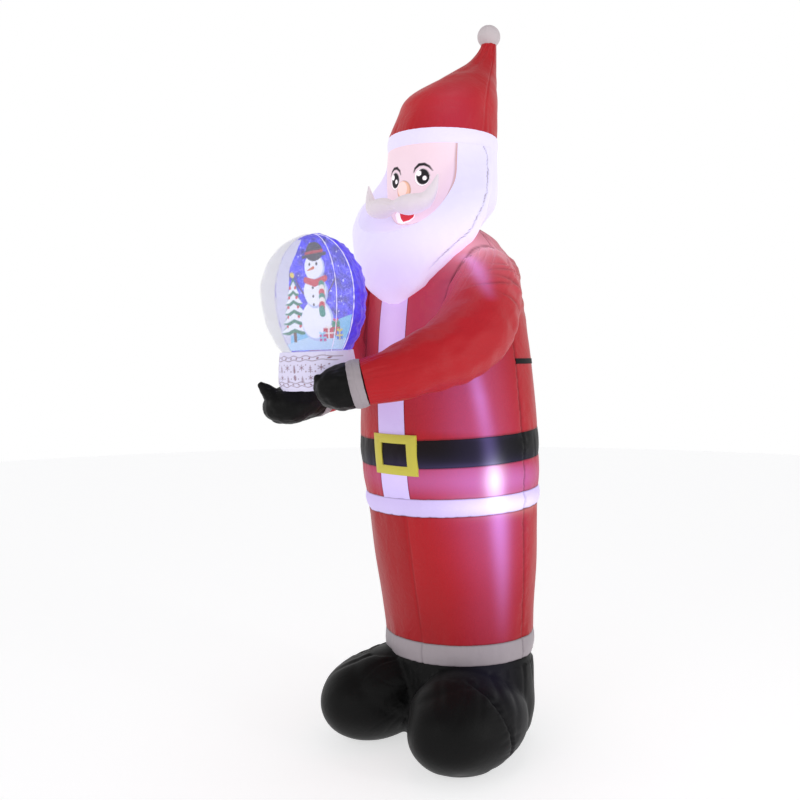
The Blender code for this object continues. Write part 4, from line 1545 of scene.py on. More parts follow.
@dataclass(frozen=True)
class Hat:
    """The hat's white band, its red cone that sweeps back, and the pompom."""

    form: Curve = Curve(
        (
            (2.958, 0.266, 0.266, -0.126),
            (3.030, 0.257, 0.257, -0.106),
            (3.080, 0.248, 0.248, -0.090),
            (3.130, 0.238, 0.238, -0.073),
            (3.234, 0.189, 0.189, 0.001),
            (3.325, 0.124, 0.124, 0.099),
            (3.425, 0.070, 0.070, 0.187),
            (3.509, 0.043, 0.043, 0.229),
            (3.530, 0.039, 0.039, 0.235),
        )
    )
    band: Curve = Curve(((2.885, 0.269, 0.269, -0.129), (2.958, 0.269, 0.269, -0.126)))
    columns: int = 240
    foot: float = 2.885
    band_top: float = 2.958
    band_swell: float = 0.005
    tip: float = 3.53
    pompom_radius: float = 0.061
    height: float = 3.63
    band_gathers: float = 0.002
    foot_gathers: float = 0.003
    tip_gathers: float = 0.007
    dent_depth: float = 0.0022
    seam_depth: float = 0.003
    seam_width: float = 0.006
    pompom_top_gathers: float = 0.004
    pompom_foot_gathers: float = 0.003

    def build(self) -> None:
        """Builds the band, the cone and the pompom."""
        turn = round_turn(self.columns)
        rows, gap = 16, 0.0005
        levels = np.linspace(self.foot + gap, self.band_top - gap, rows)
        share = np.linspace(0, 1, rows)
        swell = self.band_swell * np.sin(math.pi * share)
        skin = Skin(loft(self.band, levels, self.columns, swell))
        depth = self.band_gathers * gathers(turn, (share * 0.07)[:, None], 51, 60, 0.03)
        depth += self.band_gathers * gathers(turn, ((1 - share) * 0.07)[:, None], 52, 60, 0.03)
        place(skin.push(depth).build("hat_band_cloth", WHITE), WHITE, "hat_band")
        levels = np.linspace(self.band_top, self.tip, 100)
        skin = Skin(loft(self.form, levels, self.columns))
        foot, tip = (levels - self.band_top)[:, None], (self.tip - levels)[:, None]
        depth = self.foot_gathers * gathers(turn, foot, 53, 50, 0.06)
        tight = np.clip(tip / 0.03, 0.25, 1)
        depth += self.tip_gathers * gathers(turn, tip, 54, 9, 0.16) * tight
        depth += self.dent_depth * Waves(55, 0.15, 1.5).at(skin.points)
        for side_turn in SEAM_TURNS:
            along_seam = wrapped(turn - side_turn) * 0.2
            depth -= self.seam_depth * bump(along_seam, self.seam_width)
        place(skin.push(depth).build("hat_cloth", RED), RED, "hat")
        self.build_pompom()

    def build_pompom(self) -> None:
        """Builds the round pompom, gathered at its top and its foot."""
        rows = 60
        polar = np.linspace(math.pi - 0.45, 0.02, rows)[:, None]
        turn = round_turn(96)
        radius = self.pompom_radius - 0.0005
        centre = np.array([0.0, self.form.values[-1, 2], self.height - self.pompom_radius])
        x, y = radius * np.sin(polar) * np.sin(turn), -radius * np.sin(polar) * np.cos(turn)
        skin = Skin(grid_of(x, y, radius * np.cos(polar)) + centre)
        depth = self.pompom_top_gathers * gathers(turn, polar * radius, 56, 11, 0.05)
        away = (math.pi - polar) * radius
        depth += self.pompom_foot_gathers * gathers(turn, away, 57, 13, 0.05)
        place(skin.push(depth).build("pompom_cloth", POMPOM_WHITE), POMPOM_WHITE, "pompom")


@dataclass(frozen=True)
class Boots:
    """The black base with its two round toes."""

    heel: Curve = Curve(
        (
            (0.000, 0.290, 0.210, -0.008),
            (0.020, 0.345, 0.255, -0.008),
            (0.060, 0.388, 0.292, -0.008),
            (0.140, 0.412, 0.316, -0.008),
            (0.240, 0.416, 0.320, -0.008),
            (0.350, 0.410, 0.318, -0.008),
            (0.450, 0.396, 0.310, -0.008),
        )
    )
    toe: tuple[float, float, float] = (0.296, -0.275, 0.190)
    toe_half: tuple[float, float, float] = (0.240, 0.330, 0.212)
    instep: tuple[float, float, float] = (0.247, -0.238, 0.238)
    instep_half: tuple[float, float, float] = (0.225, 0.300, 0.190)
    top: float = 0.448
    hem_level: float = 0.42
    tucked_above: float = 0.41
    crease_y: float = -0.275
    crease_slope: float = 0.30
    crease_level: float = 0.25
    crease_width: float = 0.009
    crease_depth: float = 0.010
    crease_from: float = 0.30
    hem_folds: float = 0.008
    toe_folds: float = 0.008
    floor_folds: float = 0.005
    side_folds: float = 0.006
    dent_depth: float = 0.0025

    def build(self) -> None:
        """Builds the boots as one wrinkled skin, flat where they stand."""
        parts = [Skin(loft(self.heel, np.linspace(0.0, self.top, 40), 160))]
        polar = np.linspace(math.pi - 0.02, 0.02, 60)[:, None]
        turn = round_turn(120)
        for side in Side:
            for centre, half in ((self.toe, self.toe_half), (self.instep, self.instep_half)):
                x = half[0] * np.sin(polar) * np.sin(turn) + side.value * centre[0]
                y = -half[1] * np.sin(polar) * np.cos(turn) + centre[1]
                parts.append(Skin(grid_of(x, y, half[2] * np.cos(polar) + centre[2])))
        mesh = merged("boots_cloth", parts, 0.0095, 8)
        points = points_of(mesh)
        self.wrinkle(mesh, points)
        points = points_of(mesh)
        points[:, 2] = np.maximum(points[:, 2], 0.0)
        mesh.vertices.foreach_set("co", points.ravel())
        place(dressed("boots_cloth", mesh, BLACK), BLACK, "boots")

    def wrinkle(self, mesh: bpy.types.Mesh, points: np.ndarray) -> None:
        """Presses in the folds that run from the hem, the crease between the toes and the floor.

        Args:
            mesh: The boots.
            points: Its corners.
        """
        x, y, z = points.T
        turn = np.arctan2(x, -y)
        amount = self.hem_folds * gathers(turn, np.maximum(self.hem_level - z, 0), 61, 54, 0.13)
        away = np.hypot(x, 0.8 * (y + 0.36))
        fan = np.arctan2(z - 0.26, np.abs(x) + 0.01)
        amount += self.toe_folds * gathers(4 * fan, away, 62, 26, 0.12) * (y < -0.1)
        amount += self.floor_folds * gathers(turn, z, 63, 40, 0.06)
        amount += self.dent_depth * Waves(64, 0.22).at(points)
        heel = y - self.crease_y + self.crease_slope * (z - self.crease_level)
        outer = np.clip((np.abs(x) - self.crease_from) / 0.08, 0, 1)
        amount -= self.crease_depth * bump(heel, self.crease_width) * outer
        amount += self.side_folds * gathers(9 * z, np.abs(heel), 65, 22, 0.06) * outer
        amount = np.where(z > self.tucked_above, -CLOTH_THICKNESS, amount)
        amount *= np.clip(z / 0.02, 0, 1)
        push_mesh(mesh, amount)


@dataclass(frozen=True)
class Arm:
    """One sleeve with its cuff and its mitten."""

    side: Side
    path: Curve
    mitten_length: float
    thumb_tip: tuple[float, float, float]
    creases: tuple[Crease, ...]
    cuff_length: float = 0.058
    cuff_swell: float = 0.006
    mitten_flat: float = 0.74
    mitten_full: float = 1.12
    thumb_radius: float = 0.032
    thumb_place: float = 0.70
    gap: float = 0.0003
    rows: int = 170
    columns: int = 185
    armhole_reach: float = 0.75
    armhole_folds: float = 0.011
    wrist_folds: float = 0.003
    sleeve_dents: float = 0.003
    cuff_folds: float = 0.004
    mitten_dents: float = 0.0022

    def mirrored(self, points: np.ndarray) -> np.ndarray:
        """Turns points of the table, given as his left arm, to this arm's side."""
        return points * np.array([self.side.value, 1, 1])

    def name(self) -> str:
        """Gives "left" or "right"."""
        return self.side.name.lower()

    def off_sleeve(self, points: np.ndarray) -> np.ndarray:
        """Measures how far points lie outside the upper sleeve.

        Args:
            points: A grid of points.

        Returns:
            The distance of each, below 0 inside the sleeve.
        """
        rows = self.path.at(np.linspace(0, 4, 60))
        gaps = np.linalg.norm(points[:, :, None] - self.mirrored(rows[:, :3]), axis=-1)
        return (gaps - rows[:, 3]).min(axis=-1)

    def build(self) -> None:
        """Builds the sleeve, the cuff and the mitten."""
        last = self.path.steps[-1]
        rows = self.path.at(np.linspace(0, last, self.rows))
        middle, radii = self.mirrored(rows[:, :3]), rows[:, 3]
        skin = Skin(tube(middle, radii, self.columns))
        away = np.linalg.norm(np.diff(middle, axis=0), axis=1)
        along = np.concatenate([[0], np.cumsum(away)])[:, None]
        turn = round_turn(self.columns)
        sizes = Coat().form.over(skin.points[..., 2])
        across = skin.points[..., 0] / sizes[..., 0]
        forward = (skin.points[..., 1] - sizes[..., 2]) / sizes[..., 1]
        off_coat = (np.hypot(across, forward) - 1) * sizes[..., 1]
        armhole = 0.45 * bump(off_coat - 0.010, 0.005)
        armhole = armhole * (along < self.armhole_reach)
        depth = self.armhole_folds * gathers(turn, np.abs(off_coat), 71, 46, 0.13)
        depth = depth * (along < 0.8)
        depth += self.wrist_folds * gathers(turn, along[-1] - along, 72, 34, 0.14)
        depth += self.sleeve_dents * Waves(73 + self.side.value, 0.12).at(skin.points)
        folds = sum(crease.on(turn, along) for crease in self.creases)
        # The armhole seam line, and painted shade in the folds of the creases.
        skin.stitch = np.maximum(armhole, 0.40 * np.clip(-folds / 0.010, 0, 1))
        depth += folds
        piece = skin.push(depth).build(f"sleeve_{self.name()}_cloth", RED)
        place(piece, RED, f"sleeve_{self.name()}")
        coarse = self.mirrored(self.path.at(np.array([last - 0.5, last]))[:, :3])
        heading = (coarse[1] - coarse[0]) / np.linalg.norm(coarse[1] - coarse[0])
        self.build_cuff(coarse[1], heading, radii[-1])
        start = coarse[1] + heading * (self.cuff_length + 2 * self.gap)
        self.build_mitten(start, heading, radii[-1])

    def build_cuff(self, wrist: np.ndarray, heading: np.ndarray, radius: float) -> None:
        """Builds the puffed cuff, gathered at both of its seams.

        Args:
            wrist: The sleeve's end.
            heading: The way that the sleeve points there.
            radius: The sleeve's radius there.
        """
        share = np.linspace(0, 1, 26)
        middle = wrist + heading * (self.gap + self.cuff_length * share)[:, None]
        columns = 120
        skin = Skin(tube(middle, radius + self.cuff_swell * np.sin(math.pi * share), columns))
        turn = round_turn(columns)
        away = (share * self.cuff_length)[:, None]
        depth = self.cuff_folds * gathers(turn, away, 74, 18, 0.03)
        depth += self.cuff_folds * gathers(turn, self.cuff_length - away, 75, 18, 0.03)
        depth -= 0.002 * bump(away - 0.5 * self.cuff_length, 0.003)
        piece = skin.push(depth).build(f"cuff_{self.name()}_cloth", UNLIT_WHITE)
        place(piece, UNLIT_WHITE, f"cuff_{self.name()}")

    def build_mitten(self, start: np.ndarray, heading: np.ndarray, radius: float) -> None:
        """Builds the mitten with its thumb as one wrinkled skin.

        Args:
            start: The cuff's end.
            heading: The way that the arm points there.
            radius: The sleeve's radius there.
        """
        share = np.sin(np.linspace(0, math.pi / 2, 40))
        middle = start + heading * (self.mitten_length * share)[:, None]
        full = 1 + (self.mitten_full - 1) * np.sin(math.pi * share)
        radii = radius * full * np.sqrt(np.maximum(1 - share**6, 0.004))
        palm = tube(middle, radii, 80)
        along = (palm - start) @ heading
        flat = 1 - (1 - self.mitten_flat) * np.clip(along / radius, 0, 1)
        level = start[2] + heading[2] * along
        palm[..., 2] = level + (palm[..., 2] - level) * flat
        root = start + heading * self.mitten_length * self.thumb_place
        tip = self.mirrored(np.array(self.thumb_tip))
        step = np.linspace(0, 1, 30)
        thumb_path = root + (tip - root) * step[:, None]
        thumb = tube(thumb_path, self.thumb_radius * (1.38 - 1.05 * step**2.2), 60)
        mesh = merged(f"mitten_{self.name()}_cloth", [Skin(palm), Skin(thumb)], 0.0045, 5)
        points = points_of(mesh)
        amount = self.mitten_dents * Waves(76, 0.07).at(points)
        amount += 0.0007 * Waves(77, 0.03).at(points)
        push_mesh(mesh, amount)
        piece = dressed(f"mitten_{self.name()}_cloth", mesh, BLACK)
        place(piece, BLACK, f"mitten_{self.name()}")


SHOULDER = ((0.0, 0.090, -0.090, 2.290, 0.060), (1.0, 0.265, -0.140, 2.280, 0.130))
LEFT_ARM = Arm(
    Side.LEFT,
    Curve(
        (
            *SHOULDER,
            (2.0, 0.365, -0.240, 2.178, 0.166),
            (3.0, 0.420, -0.370, 2.026, 0.176),
            (4.0, 0.430, -0.510, 1.932, 0.162),
            (5.0, 0.416, -0.660, 1.874, 0.138),
            (6.0, 0.360, -0.820, 1.814, 0.114),
            (7.0, 0.276, -0.910, 1.782, 0.098),
        )
    ),
    0.145,
    (0.170, -1.080, 1.805),
    (
        Crease(5.3, 0.30, 0.55, 0.008, 0.010, 0.05),
        Crease(5.5, 0.34, 0.50, 0.009, 0.009, 0.08),
        Crease(5.2, 0.38, 0.60, 0.010, 0.010, 0.03),
        Crease(5.6, 0.43, 0.50, 0.009, 0.008, 0.10),
        Crease(5.0, 0.47, 0.45, 0.008, 0.007, 0.02),
        Crease(3.6, 0.52, 0.60, 0.010, 0.008, 0.05),
        Crease(3.3, 0.62, 0.50, 0.009, 0.007, -0.05),
    ),
)
RIGHT_ARM = Arm(
    Side.RIGHT,
    Curve(
        (
            *SHOULDER,
            (2.0, 0.365, -0.240, 2.180, 0.168),
            (3.0, 0.420, -0.370, 2.025, 0.182),
            (4.0, 0.380, -0.500, 1.915, 0.166),
            (5.0, 0.275, -0.615, 1.815, 0.142),
            (6.0, 0.192, -0.700, 1.750, 0.118),
            (7.0, 0.174, -0.773, 1.726, 0.101),
        )
    ),
    0.255,
    (0.200, -1.085, 1.772),
    (
        Crease(0.9, 0.32, 0.55, 0.010, 0.010, -0.05),
        Crease(1.1, 0.40, 0.55, 0.010, 0.010, -0.03),
        Crease(2.6, 0.52, 0.60, 0.010, 0.009, 0.05),
    ),
)


@dataclass(frozen=True)
class Globe:
    """The globe: clear film in front, blue cloth behind, a printed backdrop, and the base."""

    centre: tuple[float, float, float] = (0.0, -0.922, 1.746)
    lean_forward: float = 3.0
    lean_side: float = 1.0
    turn: float = 8.0
    radius: float = 0.223
    above: float = 0.256
    below: float = 0.244
    belly: float = 0.320
    base_height: float = 0.165
    base_half_width: float = 0.172
    base_half_depth: float = 0.136
    rims: tuple[float, ...] = (-89.0, 66.0, 89.0)
    piping_radius: float = 0.0018
    piping_out: float = 0.002
    window_gap: float = 0.003
    ink: str = "#7A3444"
    ink_half: float = 0.150

    def matrix(self) -> np.ndarray:
        """Works out the globe's own frame, its origin under the base.

        Returns:
            The frame's matrix, four by four.
        """
        lean = Matrix.Rotation(math.radians(self.lean_forward), 4, "X")
        side = Matrix.Rotation(math.radians(-self.lean_side), 4, "Y")
        turn = Matrix.Rotation(math.radians(self.turn), 4, "Z")
        return np.array(Matrix.Translation(Vector(self.centre)) @ side @ lean @ turn)

    def placed(self, points: np.ndarray) -> np.ndarray:
        """Moves points from the globe's own frame to the figure's."""
        matrix = self.matrix()
        return points @ matrix[:3, :3].T + matrix[:3, 3]

    def outline(self, rows: int) -> np.ndarray:
        """Gives the globe's side, from its neck to its top.

        Args:
            rows: How many points.

        Returns:
            The radius and the height of each.
        """
        lowest = math.asin(self.below / self.belly)
        down = np.linspace(lowest, 0, rows // 2, endpoint=False)
        up = np.linspace(0, math.pi / 2 - 0.02, rows - rows // 2)
        radius = self.radius * np.cos(np.concatenate([down, up]))
        height = np.concatenate([-self.belly * np.sin(down), self.above * np.sin(up)])
        return np.column_stack([radius, height + self.base_height + self.below])

    def half(self, first: float, last: float, rows: int, columns: int) -> Skin:
        """Gives a part of the globe's skin.

        Args:
            first: The angle where it starts, where 0 is the front.
            last: The angle where it ends.
            rows: How many points upward.
            columns: How many points across.

        Returns:
            The skin, in the figure's frame.
        """
        radius, height = self.outline(rows).T
        turn = np.linspace(first, last, columns)[None, :]
        x, y = radius[:, None] * np.sin(turn), -radius[:, None] * np.cos(turn)
        return Skin(self.placed(grid_of(x, y, height[:, None])), closed=False)

    def build(self) -> None:
        """Builds the globe's pieces."""
        quarter = math.pi / 2
        window = self.half(-quarter + self.window_gap, quarter - self.window_gap, 70, 90)
        window.push(0.0018 * Waves(81, 0.12).at(window.points))
        film = ClearFilm()
        place(window.build("globe_window_film", film), film, "globe_window")
        back = self.half(quarter, 3 * quarter, 90, 110)
        folds = 0.004 * Waves(82, 0.07).at(back.points) + 0.0018 * Waves(83, 0.03).at(back.points)
        place(back.push(folds).build("globe_back_cloth", BLUE), BLUE, "globe_back")
        self.build_rims()
        self.build_backdrop()
        self.build_base()

    def build_rims(self) -> None:
        """Builds the white piping sewn along the edge of the film and across the globe's side."""
        radius, height = self.outline(80).T
        for number, degrees in enumerate(self.rims):
            turn = math.radians(degrees)
            out = radius + self.piping_out
            path = np.column_stack([out * math.sin(turn), -out * math.cos(turn), height])
            path = self.placed(path[:-2])
            ridge = 1 + 0.35 * Waves(90 + number, 0.03).at(path)
            ahead = np.gradient(path, axis=0)
            side = np.cross(ahead, path - path.mean(axis=0))
            side /= np.linalg.norm(side, axis=1, keepdims=True)
            outward = np.cross(side, ahead)
            outward /= np.linalg.norm(outward, axis=1, keepdims=True)
            ring = round_turn(10)[..., None]
            around = np.cos(ring) * outward[:, None] + np.sin(ring) * side[:, None]
            skin = Skin(path[:, None] + self.piping_radius * ridge[:, None, None] * around)
            place(skin.build(f"globe_rim_{number}_piping", WHITE), WHITE)

    def build_backdrop(self) -> None:
        """Builds the printed cloth that hangs across the globe behind the film."""
        rows, columns = 136, 136
        outline = self.outline(400)
        height = np.linspace(self.base_height + 0.004, outline[-1, 1] - 0.02, rows)
        reach = np.interp(height, outline[:, 1], outline[:, 0]) * 0.985
        share = np.linspace(-1, 1, columns)[None, :]
        x = reach[:, None] * share
        z = np.broadcast_to(height[:, None], x.shape)
        y = -0.006 + 0.003 * np.cos(9 * share + 6 * z)
        points = grid_of(x, y, z)
        points[..., 1] += 0.002 * Waves(84, 0.07).at(points)
        skin = Skin(self.placed(points), closed=False)
        skin.ink = WinterPrint(x, z - self.base_height).draw()
        place(skin.build("globe_backdrop_print", SCENE_PRINT), SCENE_PRINT)

    def build_base(self) -> None:
        """Builds the soft white base, with an ornament printed on its front."""
        rows, columns = 64, 420
        neck = self.outline(50)[0, 0]
        share = np.linspace(0, 1, rows)[:, None]
        half_width = self.base_half_width + (neck - self.base_half_width) * share
        half_depth = self.base_half_depth + (neck - self.base_half_depth) * share
        grow = 0.02 * self.base_height * np.sin(math.pi * share)
        grow = grow - 0.10 * self.base_height * np.maximum(1 - 4 * share, 0) ** 2
        turn = round_turn(columns)
        across, forward = superellipse(turn + 0.0001, 2.6)
        x, y = (half_width + grow) * across, -(half_depth + grow) * forward
        z = share * (self.base_height - 0.0003) + 0 * turn
        points = grid_of(x, y, z)
        skin = Skin(self.placed(points))
        depth = 0.004 * gathers(turn, (1 - share) * self.base_height, 85, 26, 0.03)
        depth = depth + 0.004 * gathers(turn, share * self.base_height, 86, 22, 0.03)
        skin.push(depth)
        skin.ink = self.base_print(x, y, z)
        place(skin.build("globe_base_cloth", PRINTED_WHITE), PRINTED_WHITE, "globe_base")

    def base_print(self, x: np.ndarray, y: np.ndarray, z: np.ndarray) -> np.ndarray:
        """Prints rows of small stars, sprigs and dots between scrolled lines on the front.

        Args:
            x: How far across each point lies, in the globe's own frame.
            y: How far back it lies.
            z: Its height.

        Returns:
            The ink at each point.
        """
        ink = Print(x, z)
        wine, half = self.ink, self.ink_half
        for level, bow in ((0.146, 0.004), (0.130, 0.003), (0.038, -0.003), (0.022, -0.004)):
            shares = np.linspace(-1, 1, 49)
            line = [(half * s, level + bow * math.cos(5 * math.pi * s)) for s in shares]
            ink.stroke(line, [0.0022] * len(line), wine)
        for share in np.linspace(-0.92, 0.92, 10):
            ink.ellipse(half * share, 0.138, 0.0045, 0.0030, wine, 30.0)
            ink.ellipse(half * share, 0.030, 0.0045, 0.0030, wine, -30.0)
        for step in range(7):
            across = -0.120 + 0.040 * step
            if step % 2:
                self.sprig(ink, across, 0.094, 0.030, wine)
                self.star(ink, across, 0.058, 0.010, wine)
            else:
                self.star(ink, across, 0.100, 0.012, wine)
                self.sprig(ink, across, 0.052, 0.026, wine)
            ink.ellipse(across + 0.020, 0.084, 0.0026, 0.0026, wine)
            ink.ellipse(across + 0.020, 0.112, 0.0022, 0.0022, wine)
            ink.ellipse(across + 0.018, 0.054, 0.0022, 0.0022, wine)
        ink.ink[..., 3] *= y < 0
        return ink.ink

    def star(self, ink: Print, x: float, z: float, reach: float, colour: str) -> None:
        """Lays a six-pointed snow star.

        Args:
            ink: The print.
            x: The star's middle, across.
            z: Its middle, upward.
            reach: How far its points reach.
            colour: The ink's sRGB hex colour.
        """
        for way in range(3):
            angle = math.pi * way / 3 + math.pi / 6
            dx, dz = reach * math.cos(angle), reach * math.sin(angle)
            ink.stroke([(x - dx, z - dz), (x + dx, z + dz)], [0.0022, 0.0022], colour)

    def sprig(self, ink: Print, x: float, z: float, tall: float, colour: str) -> None:
        """Lays an upright fir sprig with three pairs of needles.

        Args:
            ink: The print.
            x: The sprig's middle, across.
            z: Its middle, upward.
            tall: Its height.
            colour: The ink's sRGB hex colour.
        """
        foot = z - tall / 2
        ink.stroke([(x, foot), (x, foot + tall)], [0.0022, 0.0018], colour)
        for pair in range(3):
            level = foot + tall * (0.25 + 0.25 * pair)
            wide = tall * (0.30 - 0.07 * pair)
            for side in (-1, 1):
                tip = (x + side * wide, level - tall * 0.10)
                ink.stroke([(x, level), tip], [0.0022, 0.0016], colour)


class WinterPrint(Print):
    """A plain winter picture: night sky, snow, a fir tree, a snowman and parcels."""

    def draw(self) -> np.ndarray:
        """Lays the picture's shapes from the back to the front.

        Returns:
            The ink at each point.
        """
        self.lay(np.full(self.across.shape, -1.0), "#3C35DC")
        spot = np.stack([self.across, self.upward, 0 * self.across], -1)
        # Painted highlights: thin pale lines where the crinkled cloth catches the light, over the
        # sky's uneven tone.
        crinkle = bump(Waves(92, 0.032).at(spot), 0.11)
        self.ink[..., :3] *= (1 + 0.35 * Waves(91, 0.05).at(spot))[..., None]
        self.ink[..., :3] += crinkle[..., None] * 0.50 * linear("#A8A4FF")
        # Painted light: the pale grey-white that the clear film shows over the globe's left side,
        # laid into the picture as a sheen.
        film_sheen = [(-0.095, 0.03), (-0.125, 0.16), (-0.138, 0.27), (-0.120, 0.37), (-0.070, 0.45)]
        film_sheen += [(-0.02, 0.52), (-0.4, 0.52), (-0.4, 0.03)]
        self.shape(film_sheen, "#D2D1E2")
        draw = np.random.default_rng(89)
        for _ in range(46):
            x, z = draw.uniform(-0.2, 0.2), draw.uniform(0.14, 0.48)
            self.ellipse(x, z, 0.0028, 0.0028, "#E6EAFF")
        hill = [(-0.15, 0.02), (-0.14, 0.070), (-0.02, 0.095), (0.08, 0.115), (0.3, 0.170)]
        self.shape([*hill, (0.3, -0.1)], "#7FC4E8")
        bank = [(-0.3, -0.1), (-0.17, 0.030), (-0.04, 0.060), (0.10, 0.055), (0.3, 0.040)]
        self.shape([*bank, (0.3, -0.1)], "#BFDDF2")
        self.fir(-0.112, 0.050, 0.255)
        self.snowman(0.016, 0.052, 1.20)
        for x, z, wide, tall, body, ribbon in (
            (0.118, 0.066, 0.048, 0.058, "#2F8F6B", "#D8404C"),
            (0.078, 0.052, 0.050, 0.044, "#C8384A", "#F2EEE8"),
            (0.140, 0.046, 0.036, 0.034, "#4C7FD8", "#E9D25A"),
            (0.046, 0.040, 0.034, 0.030, "#C04890", "#8FD0E8"),
        ):
            self.parcel(x, z, wide, tall, body, ribbon)
        return self.ink

    def fir(self, x: float, foot: float, tall: float) -> None:
        """Lays a snowy fir tree with red baubles.

        Args:
            x: Its middle, across.
            foot: Where it stands.
            tall: Its height.
        """
        trunk = [(x - 0.010, foot - 0.01), (x + 0.010, foot - 0.01)]
        trunk += [(x + 0.008, foot + 0.05), (x - 0.008, foot + 0.05)]
        self.shape(trunk, "#6B4A3A")
        tiers = 5
        for tier in range(tiers):
            low = foot + 0.03 + tall * 0.82 * tier / tiers
            half = 0.090 * (1 - 0.78 * tier / tiers)
            top = low + tall * 0.30
            green = [(x - half, low), (x - 0.4 * half, low - 0.008), (x, low + 0.004)]
            green += [(x + 0.4 * half, low - 0.008), (x + half, low), (x, top)]
            self.shape(green, "#2F7F62")
            snow = [(x - half, low + 0.002), (x - 0.5 * half, low + 0.006), (x, low + 0.020)]
            snow += [(x + 0.5 * half, low + 0.006), (x + half, low + 0.002), (x, low + 0.058)]
            self.shape(snow, "#F1F5FF")
            for share in (-0.5, 0.35):
                self.ellipse(x + half * share, low + 0.030, 0.007, 0.007, "#CF3A44")
        self.ellipse(x, foot + 0.03 + tall * 0.99, 0.010, 0.012, "#EBD45A")

    def snowman(self, x: float, foot: float, size: float) -> None:
        """Lays a plain snowman with a round hat, a striped scarf and twig arms.

        Args:
            x: Its middle, across.
            foot: Where it stands.
            size: Its size, where 1 is 0.34 m tall.
        """

        def at(across: float, upward: float) -> Place:
            """Gives a place on the snowman."""
            return x + size * across, foot + size * upward

        def disc(across: float, upward: float, wide: float, tall: float, colour: str) -> None:
            """Lays an ellipse on it."""
            self.ellipse(*at(across, upward), size * wide, size * tall, colour)

        def line(points: list[Place], widths: list[float], colour: str) -> None:
            """Lays a line on it."""
            self.stroke([at(*point) for point in points], [size * w for w in widths], colour)

        twig, coal, red = "#5A3C30", "#23232A", "#CC3A46"
        for side in (-1, 1):
            hand = (side * 0.092, 0.205)
            line([(side * 0.05, 0.155), hand], [0.006, 0.004], twig)
            line([hand, (side * 0.096, 0.225)], [0.004, 0.003], twig)
        for level, radius in ((0.066, 0.074), (0.165, 0.056), (0.252, 0.046)):
            disc(0.0, level, radius, radius, "#B9C6EA")
            disc(-0.005, level + 0.004, radius * 0.93, radius * 0.93, "#F4F6FF")
        line([(-0.046, 0.212), (0, 0.198), (0.046, 0.212)], [0.022, 0.026, 0.022], red)
        for step in range(7):
            level = 0.194 - 0.015 * step
            colour = ("#2F8F7B", "#F0ECE4", red)[step % 3]
            line([(0.028, level), (0.030, level - 0.015)], [0.026, 0.026], colour)
        for side in (-1, 1):
            disc(side * 0.016 - 0.006, 0.266, 0.0045, 0.006, coal)
        line([(-0.004, 0.252), (-0.034, 0.244)], [0.012, 0.002], "#D8703A")
        for step in range(3):
            disc(-0.010, 0.182 - 0.030 * step, 0.005, 0.005, coal)
        disc(0.0, 0.310, 0.040, 0.034, "#3A3A46")
        line([(-0.054, 0.294), (0.054, 0.300)], [0.012, 0.012], "#3A3A46")
        line([(-0.039, 0.306), (0.039, 0.311)], [0.010, 0.010], "#B83A44")

    def parcel(self, x: float, z: float, wide: float, tall: float, body: str, ribbon: str) -> None:
        """Lays a wrapped parcel with a ribbon and a bow.

        Args:
            x: Its middle, across.
            z: Its foot.
            wide: Its width.
            tall: Its height.
            body: The paper's sRGB hex colour.
            ribbon: The ribbon's.
        """
        half = wide / 2
        corners = [(x - half, z), (x + half, z), (x + half, z + tall), (x - half, z + tall)]
        self.shape(corners, body)
        self.stroke([(x, z), (x, z + tall)], [0.007, 0.007], ribbon)
        level = z + tall * 0.5
        self.stroke([(x - half, level), (x + half, level)], [0.006, 0.006], ribbon)
        for side in (-1, 1):
            self.ellipse(x + side * 0.009, z + tall + 0.005, 0.009, 0.005, ribbon, 25.0 * side)


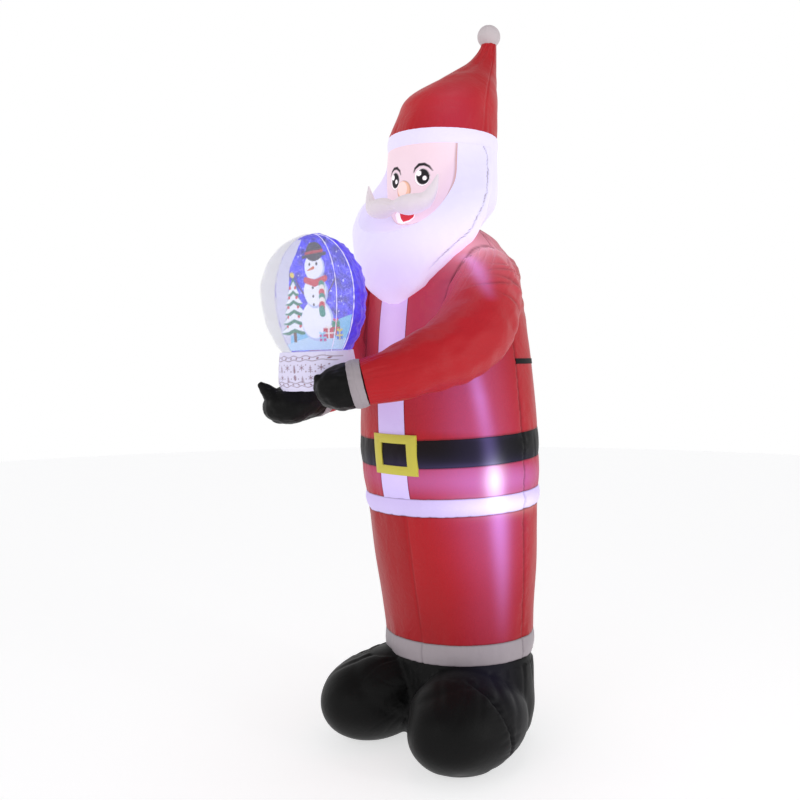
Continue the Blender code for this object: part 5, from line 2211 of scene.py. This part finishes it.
@dataclass(frozen=True)
class Studio:
    """The pale floor, the soft lights and the camera."""

    eye: tuple[float, float, float] = (2.985, -3.434, 1.893)
    azimuth: float = 41.0
    lens: float = 40.365
    shift_x: float = -0.0744
    shift_y: float = -0.0562
    floor_radius: float = 14.0
    floor_drop: float = 0.001
    floor_glow: float = 0.62
    ceiling: float = 0.25
    ceiling_low: float = 0.42
    ceiling_high: float = 0.80
    aim: tuple[float, float, float] = (0, -0.2, 1.7)

    def lamp(
        self, name: str, at: tuple[float, float, float], size: tuple[float, float], power: float
    ) -> None:
        """Hangs a soft light that looks at the figure's middle.

        Args:
            name: The light's name.
            at: Where it hangs, in metres.
            size: Its width and height.
            power: Its power in watts.
        """
        data = bpy.data.lights.new(name, "AREA")
        data.shape = "RECTANGLE"
        data.size, data.size_y = size
        data.energy = power
        light = bpy.data.objects.new(name, data)
        light.location = at
        aim = Vector(self.aim) - light.location
        light.rotation_euler = aim.to_track_quat("-Z", "Y").to_euler()
        bpy.context.scene.collection.objects.link(light)

    def build(self) -> None:
        """Builds the floor, the world, the lights and the camera."""
        scene = bpy.context.scene
        shape = bmesh.new()
        bmesh.ops.create_circle(shape, cap_ends=True, segments=96, radius=self.floor_radius)
        mesh = bpy.data.meshes.new("studio_floor")
        shape.to_mesh(mesh)
        shape.free()
        floor = bpy.data.objects.new("studio_floor", mesh)
        floor.location = (0, 0, -self.floor_drop)
        scene.collection.objects.link(floor)
        pale = bpy.data.materials.new("pale_paper")
        pale.use_nodes = True
        paper = pale.node_tree.nodes["Principled BSDF"]
        paper.inputs["Base Color"].default_value = (*linear("#C8C8CA"), 1)
        paper.inputs["Roughness"].default_value = 0.9
        paper.inputs["Emission Color"].default_value = (1, 1, 1, 1)
        paper.inputs["Emission Strength"].default_value = self.floor_glow
        mesh.materials.append(pale)
        world = bpy.data.worlds.new("white_room")
        world.use_nodes = True
        tree = world.node_tree
        back = tree.nodes["Background"]
        back.inputs["Color"].default_value = (1, 1, 1, 1)
        way = add_node(tree, "ShaderNodeTexCoord", {}, {}).outputs["Generated"]
        parts = add_node(tree, "ShaderNodeSeparateXYZ", {}, {"Vector": way})
        ceiling = {"From Min": self.ceiling_low, "From Max": self.ceiling_high}
        ceiling |= {"To Min": 1.0, "To Max": self.ceiling}
        fade = add_node(tree, "ShaderNodeMapRange", ceiling, {"Value": parts.outputs["Z"]})
        tree.links.new(fade.outputs[0], back.inputs["Strength"])
        scene.world = world
        self.lamp("key_softbox", (0.6, -5.2, 3.6), (2.0, 2.0), 20)
        self.lamp("side_strip", (4.4, 0.4, 1.6), (0.4, 3.2), 30)
        self.lamp("top_softbox", (0.8, -0.8, 6.2), (2.0, 2.0), 20)
        data = bpy.data.cameras.new("camera")
        data.lens = self.lens
        data.shift_x, data.shift_y = self.shift_x, self.shift_y
        camera = bpy.data.objects.new("camera", data)
        camera.location = self.eye
        camera.rotation_euler = (math.pi / 2, 0, math.radians(self.azimuth))
        scene.collection.objects.link(camera)
        scene.camera = camera
        scene.view_settings.view_transform = "Standard"


def main() -> None:
    """Builds the figure and its studio."""
    logging.basicConfig(level=logging.INFO, format="%(message)s")
    Studio().build()
    for assembly in (Boots(), Coat(), Head(), Hat(), LEFT_ARM, RIGHT_ARM, Globe()):
        assembly.build()


if __name__ == "__main__":
    main()
